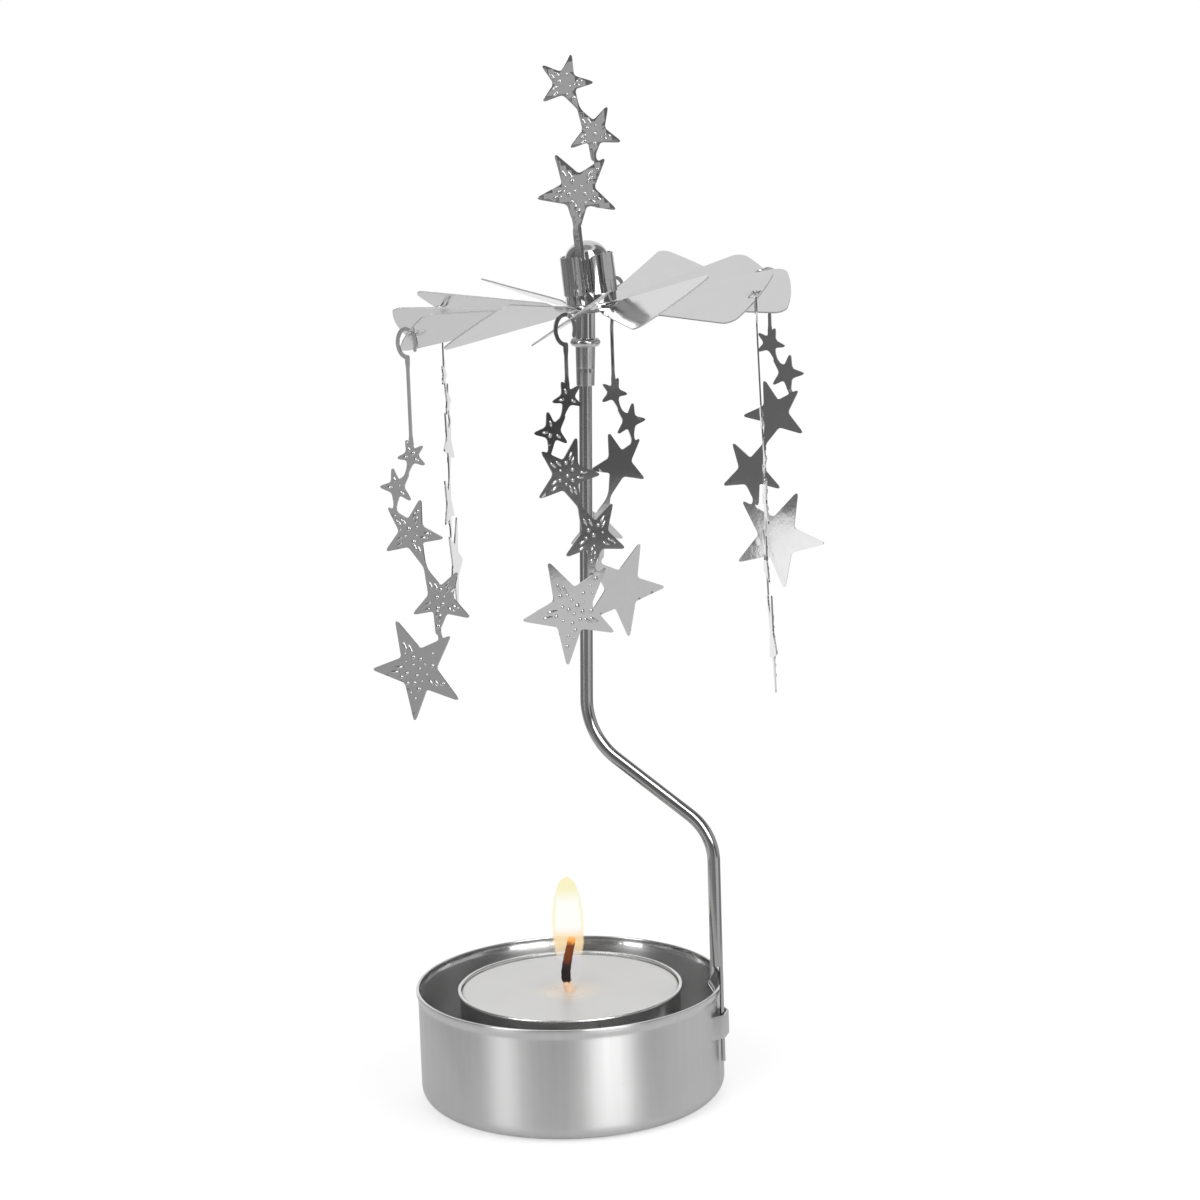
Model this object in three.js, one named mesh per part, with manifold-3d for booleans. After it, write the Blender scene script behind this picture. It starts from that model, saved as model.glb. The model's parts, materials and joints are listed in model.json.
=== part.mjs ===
// Rotating candle holder: a pressed metal cup with a tealight, a clipped-on bent stem with a
// needle, and a mirror-bright fan that turns on the needle and carries six star charms.
// Millimetres, +Z up, origin at the middle of the cup's underside, front towards -Y.
import * as THREE from 'three';
import { mergeVertices } from 'three/addons/utils/BufferGeometryUtils.js';
import Module from 'manifold-3d';

const wasm = await Module();
wasm.setup();

// Shared clearances
const seatGap = 0.3;
const pressGap = 0.12;
const slideGap = 0.17;
const legGap = 0.15;
// How far a joined sheet reaches into the wall that it grows from, and a cutter past what it cuts
const weldDepth = 0.02;
const cutMargin = 1;

// Cup
const cupRadius = 25.5;
const cupHeight = 19.1;
const cupWall = 0.5;
const cupCornerRadius = 2.6;
const lipFlare = 0.28;
const lipHeight = 1.8;

// Strap that is pushed out of the cup's wall and holds the stem's leg
const clipAngle = -17;
const strapTop = 15.2;
const strapHeight = 4;
const strapFlatWidth = 2.6;
const strapRampWidth = 1.4;
const strapWall = 0.35;

// Stem: a tube rolled from strip, bent in one plane
const stemRadius = 1.06;
const stemWall = 0.38;
const stemSeamHalfAngle = 9;
const forkHeight = 23.2;
const legHalfAngle = 42;
const legFoot = 6.7;
const lowerBendHeight = 45.8;
const lowerBendRadius = 9.5;
const upperBendReach = 4.45;
const upperBendHeight = 61.5;
const upperBendRadius = 12;
const uprightLean = 1.8;

// Tongue that springs against the inside of the cup's wall
const tongueWidth = 1.4;
const tongueThickness = 0.35;
const tongueRise = 2.7;
const tongueDip = 0.5;
const tongueReach = 1.05;

// Needle and the sleeve that holds it on the stem
const pivotHeight = 142;
const needleRadius = 0.45;
const needlePoint = 2.2;
const needleRoot = 0.5;
const sleeveLength = 14.1;
const sleeveSocket = 8;
const sleeveFootRadius = 1.48;
const sleeveRadius = 1.62;
const beadRadius = 2.45;
const beadHeight = 1.4;
const beadRise = 6.3;
const sleeveTopBelowPivot = 8.5;

// Rotor: bearing cap, crown clip and fan, all leaning together on the needle's point
const rotorLean = 4.8;
const capRadius = 3.5;
const capWall = 0.35;
const capDomeHeight = 2.95;
const brimRadius = 4.15;
const brimThickness = 0.25;
const crownWall = 0.3;
const crownTopBelowPivot = 1.6;
const crownLeaves = 4;
const crownLeafWidth = 73;
const crownLeafTurn = 223;
const crownCollarHeight = 1;
const crownFlangeRadius = 4.8;
const fanDrop = 9.1;
const fanRadius = 31.9;
const fanSheet = 0.25;
const fanHubRadius = 5.6;
const vaneCount = 12;
const vanePitch = 25;
const vaneHalfAngle = 14.1;
const vaneCornerRadius = 2;
const vanePhase = -7;
const twistStart = 4.9;
const twistEnd = 8.6;
// How far each vane was bent down by hand, in degrees, counter-clockwise from the right-hand one
const vaneDroop = [3, -0.8, -4, -0.8, -0.8, -1.2, 0.5, 0.8, -0.4, -1.5, -1.9, 0.8];

// Star charms and the finial, cut from one kind of sheet
const charmSheet = 0.25;
const charmTurn = 37;
const ringWidth = 4;
const ringDepth = 4.9;
const ringLimb = 0.6;
const ringGapStart = -78;
const ringGapEnd = -36;
const stickWidth = 0.75;
const stickOffset = -0.35;
const charmHang = 0.75;
const longStick = 19.3;
const longChain = 1.03;
const shortStick = 11.7;
const shortChain = 0.97;
// How far each charm hangs out from upright, in degrees, as its ring catches in its hole
const charmRestSwing = [0, 0, 0, 0, 0, 1.6];
const hookInset = 0.4;
const hookSlide = -0.5;
const holeRadius = 0.8;
const holeOffset = 1.05;
const starNotch = 0.41;
const starTipRadius = 0.22;
const starTipHalfAngle = 60;
const linkWidth = 0.62;
const finialScale = 0.79;
const finialTurn = 256;
const finialSheet = 0.2;
const finialStickWidth = 1.1;
const finialStickOffset = -0.1;
const finialStarHeight = 8.7;
const finialStarOffset = 0.75;

// Tealight
const tealightRadius = 19;
const tealightHeight = 17.3;
const tealightWall = 0.25;
const tealightTaper = 0.35;
const tealightBead = 0.35;
const tealightShiftY = 1.2;
const waxGap = 0.15;
const waxBelowRim = 0.9;
const waxFootBevel = 0.9;
const waxEdgeDrop = 0.3;
const waxEdgeWidth = 0.5;
const meltRadius = 3.5;
const meltDepth = 0.25;
const wickRadius = 0.5;
const wickBore = 0.75;
const wickRise = 8.4;
const wickBend = 1.1;
const sustainerRadius = 6.2;
const sustainerSheet = 0.3;
const sustainerNeckRadius = 1.25;
const sustainerNeckHeight = 3;
const sustainerNeckTaper = 0.15;

// The five stars of one charm, from small to big: centre from the first star's centre, radius,
// and the directions of the tips, counter-clockwise. joinOut and joinIn name the tips that meet.
const starMotif = [
  { at: [0, 0], radius: 2.75, tips: [110, 38, -30, -109, 189], joinOut: 3 },
  { at: [-2.95, -5], radius: 3.2, tips: [103, 44, -38, -98, 180], joinIn: 1, joinOut: 3 },
  { at: [-0.6, -12], radius: 5.8, tips: [137, 71, -5, -68, 212], joinIn: 0, joinOut: 3 },
  { at: [4.1, -22.2], radius: 5.75, tips: [118, 55, -25, -100, 206], joinIn: 0, joinOut: 3 },
  { at: [-0.6, -33.4], radius: 8.55, tips: [116, 43, -31, -97, 184], joinIn: 1 },
];

// Materials
const metal = (name, color, roughness) =>
  new THREE.MeshStandardMaterial({ name, color, roughness, metalness: 1 });
const satinSteel = metal('satin_steel', 0xb4b4b2, 0.38);
const brightSteel = metal('bright_steel', 0xc8c8c8, 0.12);
const sheetSteel = metal('sheet_steel', 0x9c9c9c, 0.2);
const foil = metal('foil', 0xcfcfcf, 0.3);
const wax = new THREE.MeshStandardMaterial({ name: 'wax', color: 0xf4f2ec, roughness: 0.5 });
const cotton = new THREE.MeshStandardMaterial({ name: 'cotton', color: 0x2a2320, roughness: 0.9 });

const rad = THREE.MathUtils.degToRad;
const polar = (radius, degrees) => [radius * Math.cos(rad(degrees)), radius * Math.sin(rad(degrees))];

// A closed geometry as a solid, with shared vertices merged and faces pointing out.
function solid(geometry) {
  const bare = geometry.clone();
  bare.deleteAttribute('normal');
  bare.deleteAttribute('uv');
  const merged = mergeVertices(bare, 1e-4);
  const points = merged.attributes.position.array;
  const corners = merged.index.array;
  const faces = [];
  let volume = 0;
  const a = new THREE.Vector3();
  const b = new THREE.Vector3();
  const c = new THREE.Vector3();
  for (let i = 0; i < corners.length; i += 3) {
    const [p, q, r] = corners.subarray(i, i + 3);
    if (p === q || q === r || r === p) continue;
    faces.push([p, q, r]);
    volume += a.fromArray(points, 3 * p).dot(b.fromArray(points, 3 * q).cross(c.fromArray(points, 3 * r)));
  }
  if (volume < 0) faces.forEach((face) => face.reverse());
  return new wasm.Manifold(new wasm.Mesh({
    numProp: 3,
    vertProperties: new Float32Array(points),
    triVerts: new Uint32Array(faces.flat()),
  }));
}

function geometryOf(shape) {
  const mesh = shape.getMesh();
  const geometry = new THREE.BufferGeometry();
  geometry.setAttribute('position', new THREE.BufferAttribute(mesh.vertProperties, 3));
  geometry.setIndex(new THREE.BufferAttribute(mesh.triVerts, 1));
  geometry.computeVertexNormals();
  return geometry;
}

function joined(shapes) {
  return shapes.reduce((sum, shape) => sum.add(shape));
}

function piece(name, shape, material) {
  const mesh = new THREE.Mesh(geometryOf(shape), material);
  mesh.name = name;
  return mesh;
}

// A profile of [radius, height] points turned about the Z axis.
function turned(profile, segments) {
  const points = profile.map(([radius, height]) => new THREE.Vector2(radius, height));
  return solid(new THREE.LatheGeometry(points, segments).rotateX(Math.PI / 2));
}

// Points of an arc in a profile, from one angle to another in degrees.
function arcPoints(centreX, centreY, radiusX, radiusY, from, to, steps) {
  return Array.from({ length: steps + 1 }, (_, i) => {
    const angle = rad(from + ((to - from) * i) / steps);
    return [centreX + radiusX * Math.cos(angle), centreY + radiusY * Math.sin(angle)];
  });
}

function outline(points) {
  return new THREE.Shape(points.map(([x, y]) => new THREE.Vector2(x, y)));
}

// A flat plate of the outline, lying in the XZ plane, with its thickness centred on Y.
function upright(shape, thickness) {
  const plate = new THREE.ExtrudeGeometry(shape, { depth: thickness, bevelEnabled: false });
  return solid(plate.translate(0, 0, -thickness / 2).rotateX(Math.PI / 2));
}

// A route of straight runs joined by round bends, with close steps only in the bends.
class BentRoute extends THREE.Curve {
  constructor(corners, radii, bendSteps) {
    super();
    this.knots = [corners[0]];
    radii.forEach((radius, i) => {
      const corner = corners[i + 1];
      const back = corners[i].clone().sub(corner).normalize();
      const on = corners[i + 2].clone().sub(corner).normalize();
      const turn = Math.PI - back.angleTo(on);
      const reach = radius * Math.tan(turn / 2);
      const inward = back.clone().add(on).normalize();
      const centre = corner.clone().addScaledVector(inward, radius / Math.cos(turn / 2));
      const start = corner.clone().addScaledVector(back, reach).sub(centre);
      const axis = back.clone().negate().cross(on).normalize();
      for (let k = 0; k <= bendSteps; k += 1) {
        this.knots.push(start.clone().applyAxisAngle(axis, (turn * k) / bendSteps).add(centre));
      }
    });
    this.knots.push(corners[corners.length - 1]);
    this.steps = this.knots.length - 1;
  }

  getPoint(t, target = new THREE.Vector3()) {
    const at = Math.min(Math.floor(t * this.steps), this.steps - 1);
    return target.lerpVectors(this.knots[at], this.knots[at + 1], t * this.steps - at);
  }

  getPointAt(t, target) {
    return this.getPoint(t, target);
  }

  getTangentAt(t, target = new THREE.Vector3()) {
    const at = Math.round(t * this.steps);
    const before = this.knots[Math.max(at - 1, 0)];
    const after = this.knots[Math.min(at + 1, this.steps)];
    const here = this.knots[at];
    target.set(0, 0, 0);
    if (at > 0) target.add(here.clone().sub(before).normalize());
    if (at < this.steps) target.add(after.clone().sub(here).normalize());
    return target.normalize();
  }
}

// Part of a tube's wall as a section, from one angle to another in degrees.
function tubeSection(radius, wall, from, to, outerSteps) {
  const outer = arcPoints(0, 0, radius, radius, from, to, outerSteps);
  const inner = arcPoints(0, 0, radius - wall, radius - wall, to, from, Math.ceil(outerSteps * 0.7));
  return outline([...outer, ...inner]);
}

// Cup with its flared lip and the strap that the stem's leg slides under
const legFace = (stemRadius - stemWall) * Math.cos(rad(legHalfAngle));
const stemReach = cupRadius + lipFlare + legGap - legFace;
const legOuter = stemReach + stemRadius;
const strapInner = legOuter + legGap;
const strapOuter = strapInner + strapWall;

function strapHalfAngle(width) {
  return THREE.MathUtils.radToDeg(width / 2 / cupRadius);
}

function buildCup() {
  const outer = cupRadius;
  const inner = cupRadius - cupWall;
  const innerCorner = cupCornerRadius - cupWall;
  const lip = (x) => [
    [x, cupHeight - lipHeight],
    [x + lipFlare * 0.6, cupHeight - lipHeight * 0.7],
    [x + lipFlare, cupHeight - lipHeight * 0.3],
    [x + lipFlare, cupHeight],
  ];
  const profile = [
    [0, 0],
    ...arcPoints(outer - cupCornerRadius, cupCornerRadius, cupCornerRadius, cupCornerRadius, -90, 0, 5),
    ...lip(outer),
    ...lip(inner).reverse(),
    ...arcPoints(inner - innerCorner, cupWall + innerCorner, innerCorner, innerCorner, 0, -90, 4),
    [0, cupWall],
  ];
  const shell = turned(profile, 54);

  const flat = strapHalfAngle(strapFlatWidth);
  const foot = strapHalfAngle(strapFlatWidth + 2 * strapRampWidth);
  const root = foot + strapHalfAngle(cupWall * 2);
  const band = (flatRadius, rootRadius) => [
    polar(rootRadius, -root),
    polar(rootRadius, -foot),
    ...arcPoints(0, 0, flatRadius, flatRadius, -flat, flat, 3),
    polar(rootRadius, foot),
    polar(rootRadius, root),
  ];
  const strapShape = outline([
    ...band(strapOuter, outer - weldDepth),
    ...band(strapInner, inner + weldDepth).reverse(),
  ]);
  const strap = new THREE.ExtrudeGeometry(strapShape, { depth: strapHeight, bevelEnabled: false });
  strap.translate(0, 0, strapTop - strapHeight);

  const windowShape = outline([
    ...arcPoints(0, 0, inner - cutMargin, inner - cutMargin, -foot, foot, 3),
    ...arcPoints(0, 0, outer + cutMargin, outer + cutMargin, foot, -foot, 3),
  ]);
  const opening = new THREE.ExtrudeGeometry(windowShape, { depth: strapHeight, bevelEnabled: false });
  opening.translate(0, 0, strapTop - strapHeight);

  const turn = rad(clipAngle);
  return shell.subtract(solid(opening.rotateZ(turn))).add(solid(strap.rotateZ(turn)));
}

// Stem, in its bend plane: X is the distance from the cup's axis, Z is up
const uprightDirection = new THREE.Vector3(Math.sin(rad(uprightLean)), 0, Math.cos(rad(uprightLean)));
const upperCorner = new THREE.Vector3(upperBendReach, 0, upperBendHeight);
const needleTipAlong = (pivotHeight - upperBendHeight) / uprightDirection.z;
const sleeveTopAlong = needleTipAlong - sleeveTopBelowPivot;
const sleeveFootAlong = sleeveTopAlong - sleeveLength;
const stemTopAlong = sleeveFootAlong + sleeveSocket - seatGap;
const alongUpright = (distance) => upperCorner.clone().addScaledVector(uprightDirection, distance);

function buildStem() {
  const route = new BentRoute([
    new THREE.Vector3(stemReach, 0, forkHeight),
    new THREE.Vector3(stemReach, 0, lowerBendHeight),
    upperCorner,
    alongUpright(stemTopAlong),
  ], [lowerBendRadius, upperBendRadius], 8);
  const seam = 180 - stemSeamHalfAngle;
  const tube = new THREE.ExtrudeGeometry(tubeSection(stemRadius, stemWall, -seam, seam, 12), {
    steps: route.steps,
    bevelEnabled: false,
    extrudePath: route,
  });

  // The outer part of the tube's end runs on as a leg with a round foot.
  const legTop = forkHeight + stemRadius;
  const legLength = legTop - legFoot;
  const legSection = tubeSection(stemRadius, stemWall, -legHalfAngle, legHalfAngle, 6);
  const leg = new THREE.ExtrudeGeometry(legSection, { depth: legLength, bevelEnabled: false });
  leg.translate(stemReach, 0, legFoot);
  const legHalfWidth = stemRadius * Math.sin(rad(legHalfAngle));
  const footprint = outline([
    ...arcPoints(0, legFoot + legHalfWidth, legHalfWidth, legHalfWidth, 180, 360, 8),
    [legHalfWidth + weldDepth, legTop + cutMargin],
    [-legHalfWidth - weldDepth, legTop + cutMargin],
  ]);
  const footCut = new THREE.ExtrudeGeometry(footprint, { depth: 4 * stemRadius, bevelEnabled: false });
  footCut.rotateX(Math.PI / 2).rotateZ(Math.PI / 2).translate(stemReach - stemRadius, 0, 0);

  // The inner part ends in a narrow tongue that bows in and comes back to the wall.
  const tongueCentre = stemReach - stemRadius + tongueThickness / 2;
  const wallFace = cupRadius - cupWall + lipFlare - legGap - tongueThickness / 2;
  const tonguePath = new THREE.CatmullRomCurve3([
    new THREE.Vector3(tongueCentre, 0, forkHeight + cutMargin),
    new THREE.Vector3(tongueCentre, 0, cupHeight + tongueRise),
    new THREE.Vector3(wallFace - tongueReach, 0, cupHeight + tongueRise / 2),
    new THREE.Vector3(wallFace - tongueReach / 2, 0, cupHeight + tongueRise / 8),
    new THREE.Vector3(wallFace, 0, cupHeight - tongueDip),
  ]);
  const tongueSection = outline([
    [-tongueWidth / 2, -tongueThickness / 2],
    [tongueWidth / 2, -tongueThickness / 2],
    [tongueWidth / 2, tongueThickness / 2],
    [-tongueWidth / 2, tongueThickness / 2],
  ]);
  const tongue = new THREE.ExtrudeGeometry(tongueSection, {
    steps: 14,
    bevelEnabled: false,
    extrudePath: tonguePath,
  });
  return joined([solid(tube), solid(leg).intersect(solid(footCut)), solid(tongue)]);
}

// Sleeve and needle, along the stem's upright, with their own foot at zero height
function buildSleeve() {
  const socketRadius = stemRadius + pressGap;
  const boreRadius = needleRadius + pressGap;
  const beadMiddle = beadRise + beadHeight / 2;
  const topRound = 0.5;
  const profile = [
    [socketRadius, 0],
    [sleeveFootRadius, 0],
    [sleeveRadius, beadRise],
    ...arcPoints(beadRadius - beadHeight / 2, beadMiddle, beadHeight / 2, beadHeight / 2, -80, 80, 5),
    [sleeveRadius, beadRise + beadHeight],
    ...arcPoints(sleeveRadius - topRound, sleeveLength - topRound, topRound, topRound, 0, 90, 3),
    [boreRadius, sleeveLength],
    [boreRadius, sleeveSocket],
    [socketRadius, sleeveSocket],
    [socketRadius, 0],
  ];
  return turned(profile, 18);
}

function buildNeedle() {
  const foot = sleeveSocket + needleRoot;
  const tip = needleTipAlong - sleeveFootAlong;
  return turned([[0, foot], [needleRadius, foot], [needleRadius, tip - needlePoint], [0, tip]], 10);
}

// Rotor pieces, with the needle's point at zero and the fan below it
const crownInner = capRadius + 2 * slideGap + finialSheet;
const crownOuter = crownInner + crownWall;
const collarInner = capRadius + seatGap;
const collarOuter = collarInner + crownWall;
const collarTop = -fanDrop + fanSheet / 2 + seatGap + crownCollarHeight;
const fanTop = -fanDrop + fanSheet / 2;
const brimTop = -fanDrop - fanSheet / 2 - seatGap;
const domeBase = seatGap + capWall - capDomeHeight;

function buildCap() {
  const inner = capRadius - capWall;
  const profile = [
    [inner, brimTop - brimThickness],
    [brimRadius, brimTop - brimThickness],
    [brimRadius, brimTop],
    [capRadius, brimTop],
    ...arcPoints(0, domeBase, capRadius, capDomeHeight, 0, 90, 6),
    ...arcPoints(0, domeBase, inner, capDomeHeight - capWall, 90, 0, 5),
    [inner, brimTop - brimThickness],
  ];
  return turned(profile, 26);
}

function buildCrown() {
  const collarFoot = fanTop + seatGap;
  const leafTop = -crownTopBelowPivot;
  const cornerRound = 0.6;
  const collar = turned([
    [collarInner, collarFoot],
    [crownFlangeRadius, collarFoot],
    [crownFlangeRadius, collarFoot + crownWall],
    [collarOuter, collarFoot + crownWall],
    [collarOuter, collarTop - crownWall],
    [crownOuter, collarTop + crownWall],
    [crownInner, collarTop + crownWall],
    [collarInner, collarTop - crownWall],
    [collarInner, collarFoot],
  ], 26);
  const sheet = turned([
    [crownInner, collarTop],
    [crownOuter, collarTop],
    [crownOuter, leafTop],
    [crownInner, leafTop],
    [crownInner, collarTop],
  ], 32);
  const halfWidth = crownOuter * Math.sin(rad(crownLeafWidth / 2));
  const leafShape = new THREE.Shape();
  leafShape.moveTo(-halfWidth, collarTop - cutMargin);
  leafShape.lineTo(halfWidth, collarTop - cutMargin);
  leafShape.lineTo(halfWidth, leafTop - cornerRound);
  leafShape.quadraticCurveTo(halfWidth, leafTop, halfWidth - cornerRound, leafTop);
  leafShape.lineTo(cornerRound - halfWidth, leafTop);
  leafShape.quadraticCurveTo(-halfWidth, leafTop, -halfWidth, leafTop - cornerRound);
  const depth = crownOuter + cutMargin;
  const leaves = Array.from({ length: crownLeaves }, (_, i) => {
    const cutter = new THREE.ExtrudeGeometry(leafShape, { depth, bevelEnabled: false, curveSegments: 3 });
    cutter.rotateX(Math.PI / 2).rotateZ(rad(crownLeafTurn + (i * 360) / crownLeaves + 90));
    return sheet.intersect(solid(cutter));
  });
  return joined([collar, ...leaves]);
}

// A point of a vane: radius, angle from its middle line in radians, and height above its sheet.
function vanePoint(index, radius, angle, height) {
  const along = radius * Math.cos(angle);
  const across = radius * Math.sin(angle);
  const share = THREE.MathUtils.smoothstep(radius, twistStart, twistEnd);
  const twist = rad(vanePitch) * share;
  const droop = Math.tan(rad(vaneDroop[index])) * Math.max(radius - fanHubRadius, 0);
  const point = new THREE.Vector3(
    along,
    across * Math.cos(twist) - height * Math.sin(twist),
    across * Math.sin(twist) + height * Math.cos(twist) - droop - fanDrop,
  );
  return point.applyAxisAngle(new THREE.Vector3(0, 0, 1), rad(vaneAzimuth(index)));
}

function vaneAzimuth(index) {
  return vanePhase + (index * 360) / vaneCount;
}

const hookRadius = fanRadius - hookInset;
const hookAngle = hookSlide / hookRadius;
const hasCharm = (index) => index % 2 === 1;

function buildVane(index) {
  const cornerFoot = fanRadius - vaneCornerRadius;
  const stations = [
    (crownInner + fanHubRadius) / 2,
    ...[0.25, 0.6, 1].map((share) => twistStart + (twistEnd - twistStart) * share),
    ...[0, 0.5, 0.85, 1].map((share) => cornerFoot + vaneCornerRadius * share),
  ];
  const rows = stations.length - 1;
  const columns = 3;
  const lattice = new THREE.BoxGeometry(1, 1, 1, rows, columns, 1);
  const places = lattice.attributes.position;
  for (let i = 0; i < places.count; i += 1) {
    const radius = stations[Math.round((places.getX(i) + 0.5) * rows)];
    const past = Math.max(radius - cornerFoot, 0);
    const trim = vaneCornerRadius - Math.sqrt(Math.max(vaneCornerRadius ** 2 - past ** 2, 0));
    const halfAngle = rad(vaneHalfAngle) - trim / radius;
    const point = vanePoint(index, radius, 2 * places.getY(i) * halfAngle, places.getZ(i) * fanSheet);
    places.setXYZ(i, point.x, point.y, point.z);
  }
  const vane = solid(lattice);
  if (!hasCharm(index)) return vane;
  const inward = vanePoint(index, hookRadius, hookAngle, 0);
  const turn = rad(vaneAzimuth(index) + charmTurn + 90);
  inward.add(new THREE.Vector3(Math.cos(turn), Math.sin(turn), 0).multiplyScalar(holeOffset));
  const drill = new THREE.CylinderGeometry(holeRadius, holeRadius, 2 * cutMargin, 14).rotateX(Math.PI / 2);
  drill.rotateX(rad(vanePitch)).rotateZ(rad(vaneAzimuth(index)));
  return vane.subtract(solid(drill.translate(inward.x, inward.y, inward.z)));
}

function buildFan() {
  const bore = capRadius + seatGap;
  const under = -fanDrop - fanSheet / 2;
  const hub = turned([
    [bore, under],
    [fanHubRadius, under],
    [fanHubRadius, fanTop],
    [bore, fanTop],
    [bore, under],
  ], 36);
  const vanes = Array.from({ length: vaneCount }, (_, index) => buildVane(index));
  return joined([hub, ...vanes]);
}

// One star with rounded tips and the notches between them.
function starOutline({ at, radius, tips }, scale) {
  const points = [];
  tips.forEach((direction, i) => {
    const next = tips[(i + 1) % tips.length];
    const gap = (((direction - next) % 360) + 360) % 360;
    const tip = radius * scale - starTipRadius;
    const round = arcPoints(...polar(tip, direction), starTipRadius, starTipRadius,
      direction + starTipHalfAngle, direction - starTipHalfAngle, 1);
    points.push(...round, polar(radius * scale * starNotch, direction - gap / 2));
  });
  return points.map(([x, y]) => [x + at[0] * scale, y + at[1] * scale]);
}

// A neck between two stars, from inside one tip to inside the other.
function linkOutline(from, to, scale) {
  const inside = (star, join) => {
    const [x, y] = polar(star.radius * 0.75, star.tips[join]);
    return new THREE.Vector2(star.at[0] + x, star.at[1] + y).multiplyScalar(scale);
  };
  const start = inside(from, from.joinOut);
  const end = inside(to, to.joinIn);
  const side = end.clone().sub(start).normalize().rotateAround(new THREE.Vector2(), Math.PI / 2);
  side.multiplyScalar(linkWidth / 2);
  return [
    start.clone().add(side),
    start.clone().sub(side),
    end.clone().sub(side),
    end.clone().add(side),
  ].map((corner) => [corner.x, corner.y]);
}

// Stars of the motif, joined tip to tip, with the first one's centre at the place given.
function starChain(motif, scale, spread, place, thickness) {
  const stars = motif.map((star) => ({ ...star, at: star.at.map((value) => value * spread) }));
  const outlines = stars.map((star) => starOutline(star, scale));
  for (let i = 1; i < stars.length; i += 1) {
    outlines.push(linkOutline(stars[i - 1], stars[i], scale));
  }
  const first = stars[0].at;
  return joined(outlines.map((points) => {
    const moved = points.map(([x, y]) => [
      x + place[0] - first[0] * scale,
      y + place[1] - first[1] * scale,
    ]);
    return upright(outline(moved), thickness);
  }));
}

// A charm hangs from the inside of its ring, which is at the origin, and faces -Y.
function buildCharm(stickLength, chainSpread) {
  const ringMiddle = ringLimb - ringDepth / 2;
  const outerRing = [ringWidth / 2, ringDepth / 2];
  const innerRing = outerRing.map((half) => half - ringLimb);
  const ring = outline([
    ...arcPoints(stickOffset, ringMiddle, ...outerRing, ringGapEnd, ringGapStart + 360, 13),
    ...arcPoints(stickOffset, ringMiddle, ...innerRing, ringGapStart + 360, ringGapEnd, 11),
  ]);
  const stickTop = ringMiddle - innerRing[1] - ringLimb * 0.4;
  const stick = outline([
    [stickOffset - stickWidth / 2, -stickLength],
    [stickOffset + stickWidth / 2, -stickLength],
    [stickOffset + stickWidth / 2, stickTop],
    [stickOffset - stickWidth / 2, stickTop],
  ]);
  const chain = starChain(starMotif, 1, chainSpread, [stickOffset, -stickLength], charmSheet);
  return joined([upright(ring, charmSheet), upright(stick, charmSheet), chain]);
}

// The finial uses the motif's three biggest stars above a stick that the crown pinches.
function buildFinial() {
  const stars = starMotif.slice(2);
  const rise = (stars[2].at[1] - stars[0].at[1]) * finialScale;
  const run = (stars[2].at[0] - stars[0].at[0]) * finialScale;
  const top = [finialStarOffset - run, finialStarHeight - rise];
  const foot = collarTop + crownWall + seatGap;
  const stick = outline([
    [finialStickOffset - finialStickWidth / 2, foot],
    [finialStickOffset + finialStickWidth / 2, foot],
    [finialStickOffset + finialStickWidth / 2, finialStarHeight - stars[2].radius * finialScale / 2],
    [finialStickOffset - finialStickWidth / 2, finialStarHeight - stars[2].radius * finialScale / 2],
  ]);
  return joined([upright(stick, finialSheet), starChain(stars, finialScale, 1, top, finialSheet)]);
}

// Tealight pieces, with the underside of the foil cup at zero
function buildFoilCup() {
  const bodyTop = tealightRadius - tealightBead;
  const bodyFoot = bodyTop - tealightTaper;
  const corner = 0.8;
  const beadMiddle = tealightHeight - tealightBead;
  return turned([
    [0, 0],
    ...arcPoints(bodyFoot - corner, corner, corner, corner, -90, 0, 3),
    [bodyTop, beadMiddle - tealightBead],
    ...arcPoints(bodyTop, beadMiddle, tealightBead, tealightBead, -70, 150, 5),
    [bodyTop - tealightWall, beadMiddle - tealightBead],
    [bodyFoot - tealightWall, corner],
    [bodyFoot - corner, tealightWall],
    [0, tealightWall],
  ], 48);
}

function buildWax() {
  const side = tealightRadius - tealightBead - tealightWall - waxGap;
  const foot = tealightWall + waxGap;
  const top = tealightHeight - waxBelowRim;
  const recessTop = foot + sustainerSheet + waxGap;
  const neckTop = foot + sustainerNeckHeight + waxGap;
  return turned([
    [sustainerRadius + waxGap, foot],
    [side - tealightTaper - waxFootBevel, foot],
    [side - tealightTaper, foot + waxFootBevel],
    [side, top - waxEdgeDrop],
    [side - waxEdgeWidth, top],
    [meltRadius, top - meltDepth],
    [meltRadius / 2, top - meltDepth],
    [wickBore, top],
    [wickBore, neckTop],
    [sustainerNeckRadius + waxGap, neckTop],
    [sustainerNeckRadius + waxGap, recessTop],
    [sustainerRadius + waxGap, recessTop],
    [sustainerRadius + waxGap, foot],
  ], 38);
}

function buildSustainer() {
  const foot = tealightWall + waxGap;
  return turned([
    [wickBore, foot],
    [sustainerRadius, foot],
    [sustainerRadius, foot + sustainerSheet],
    [sustainerNeckRadius, foot + sustainerSheet],
    [sustainerNeckRadius - sustainerNeckTaper, foot + sustainerNeckHeight],
    [wickBore, foot + sustainerNeckHeight],
    [wickBore, foot],
  ], 18);
}

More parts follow.
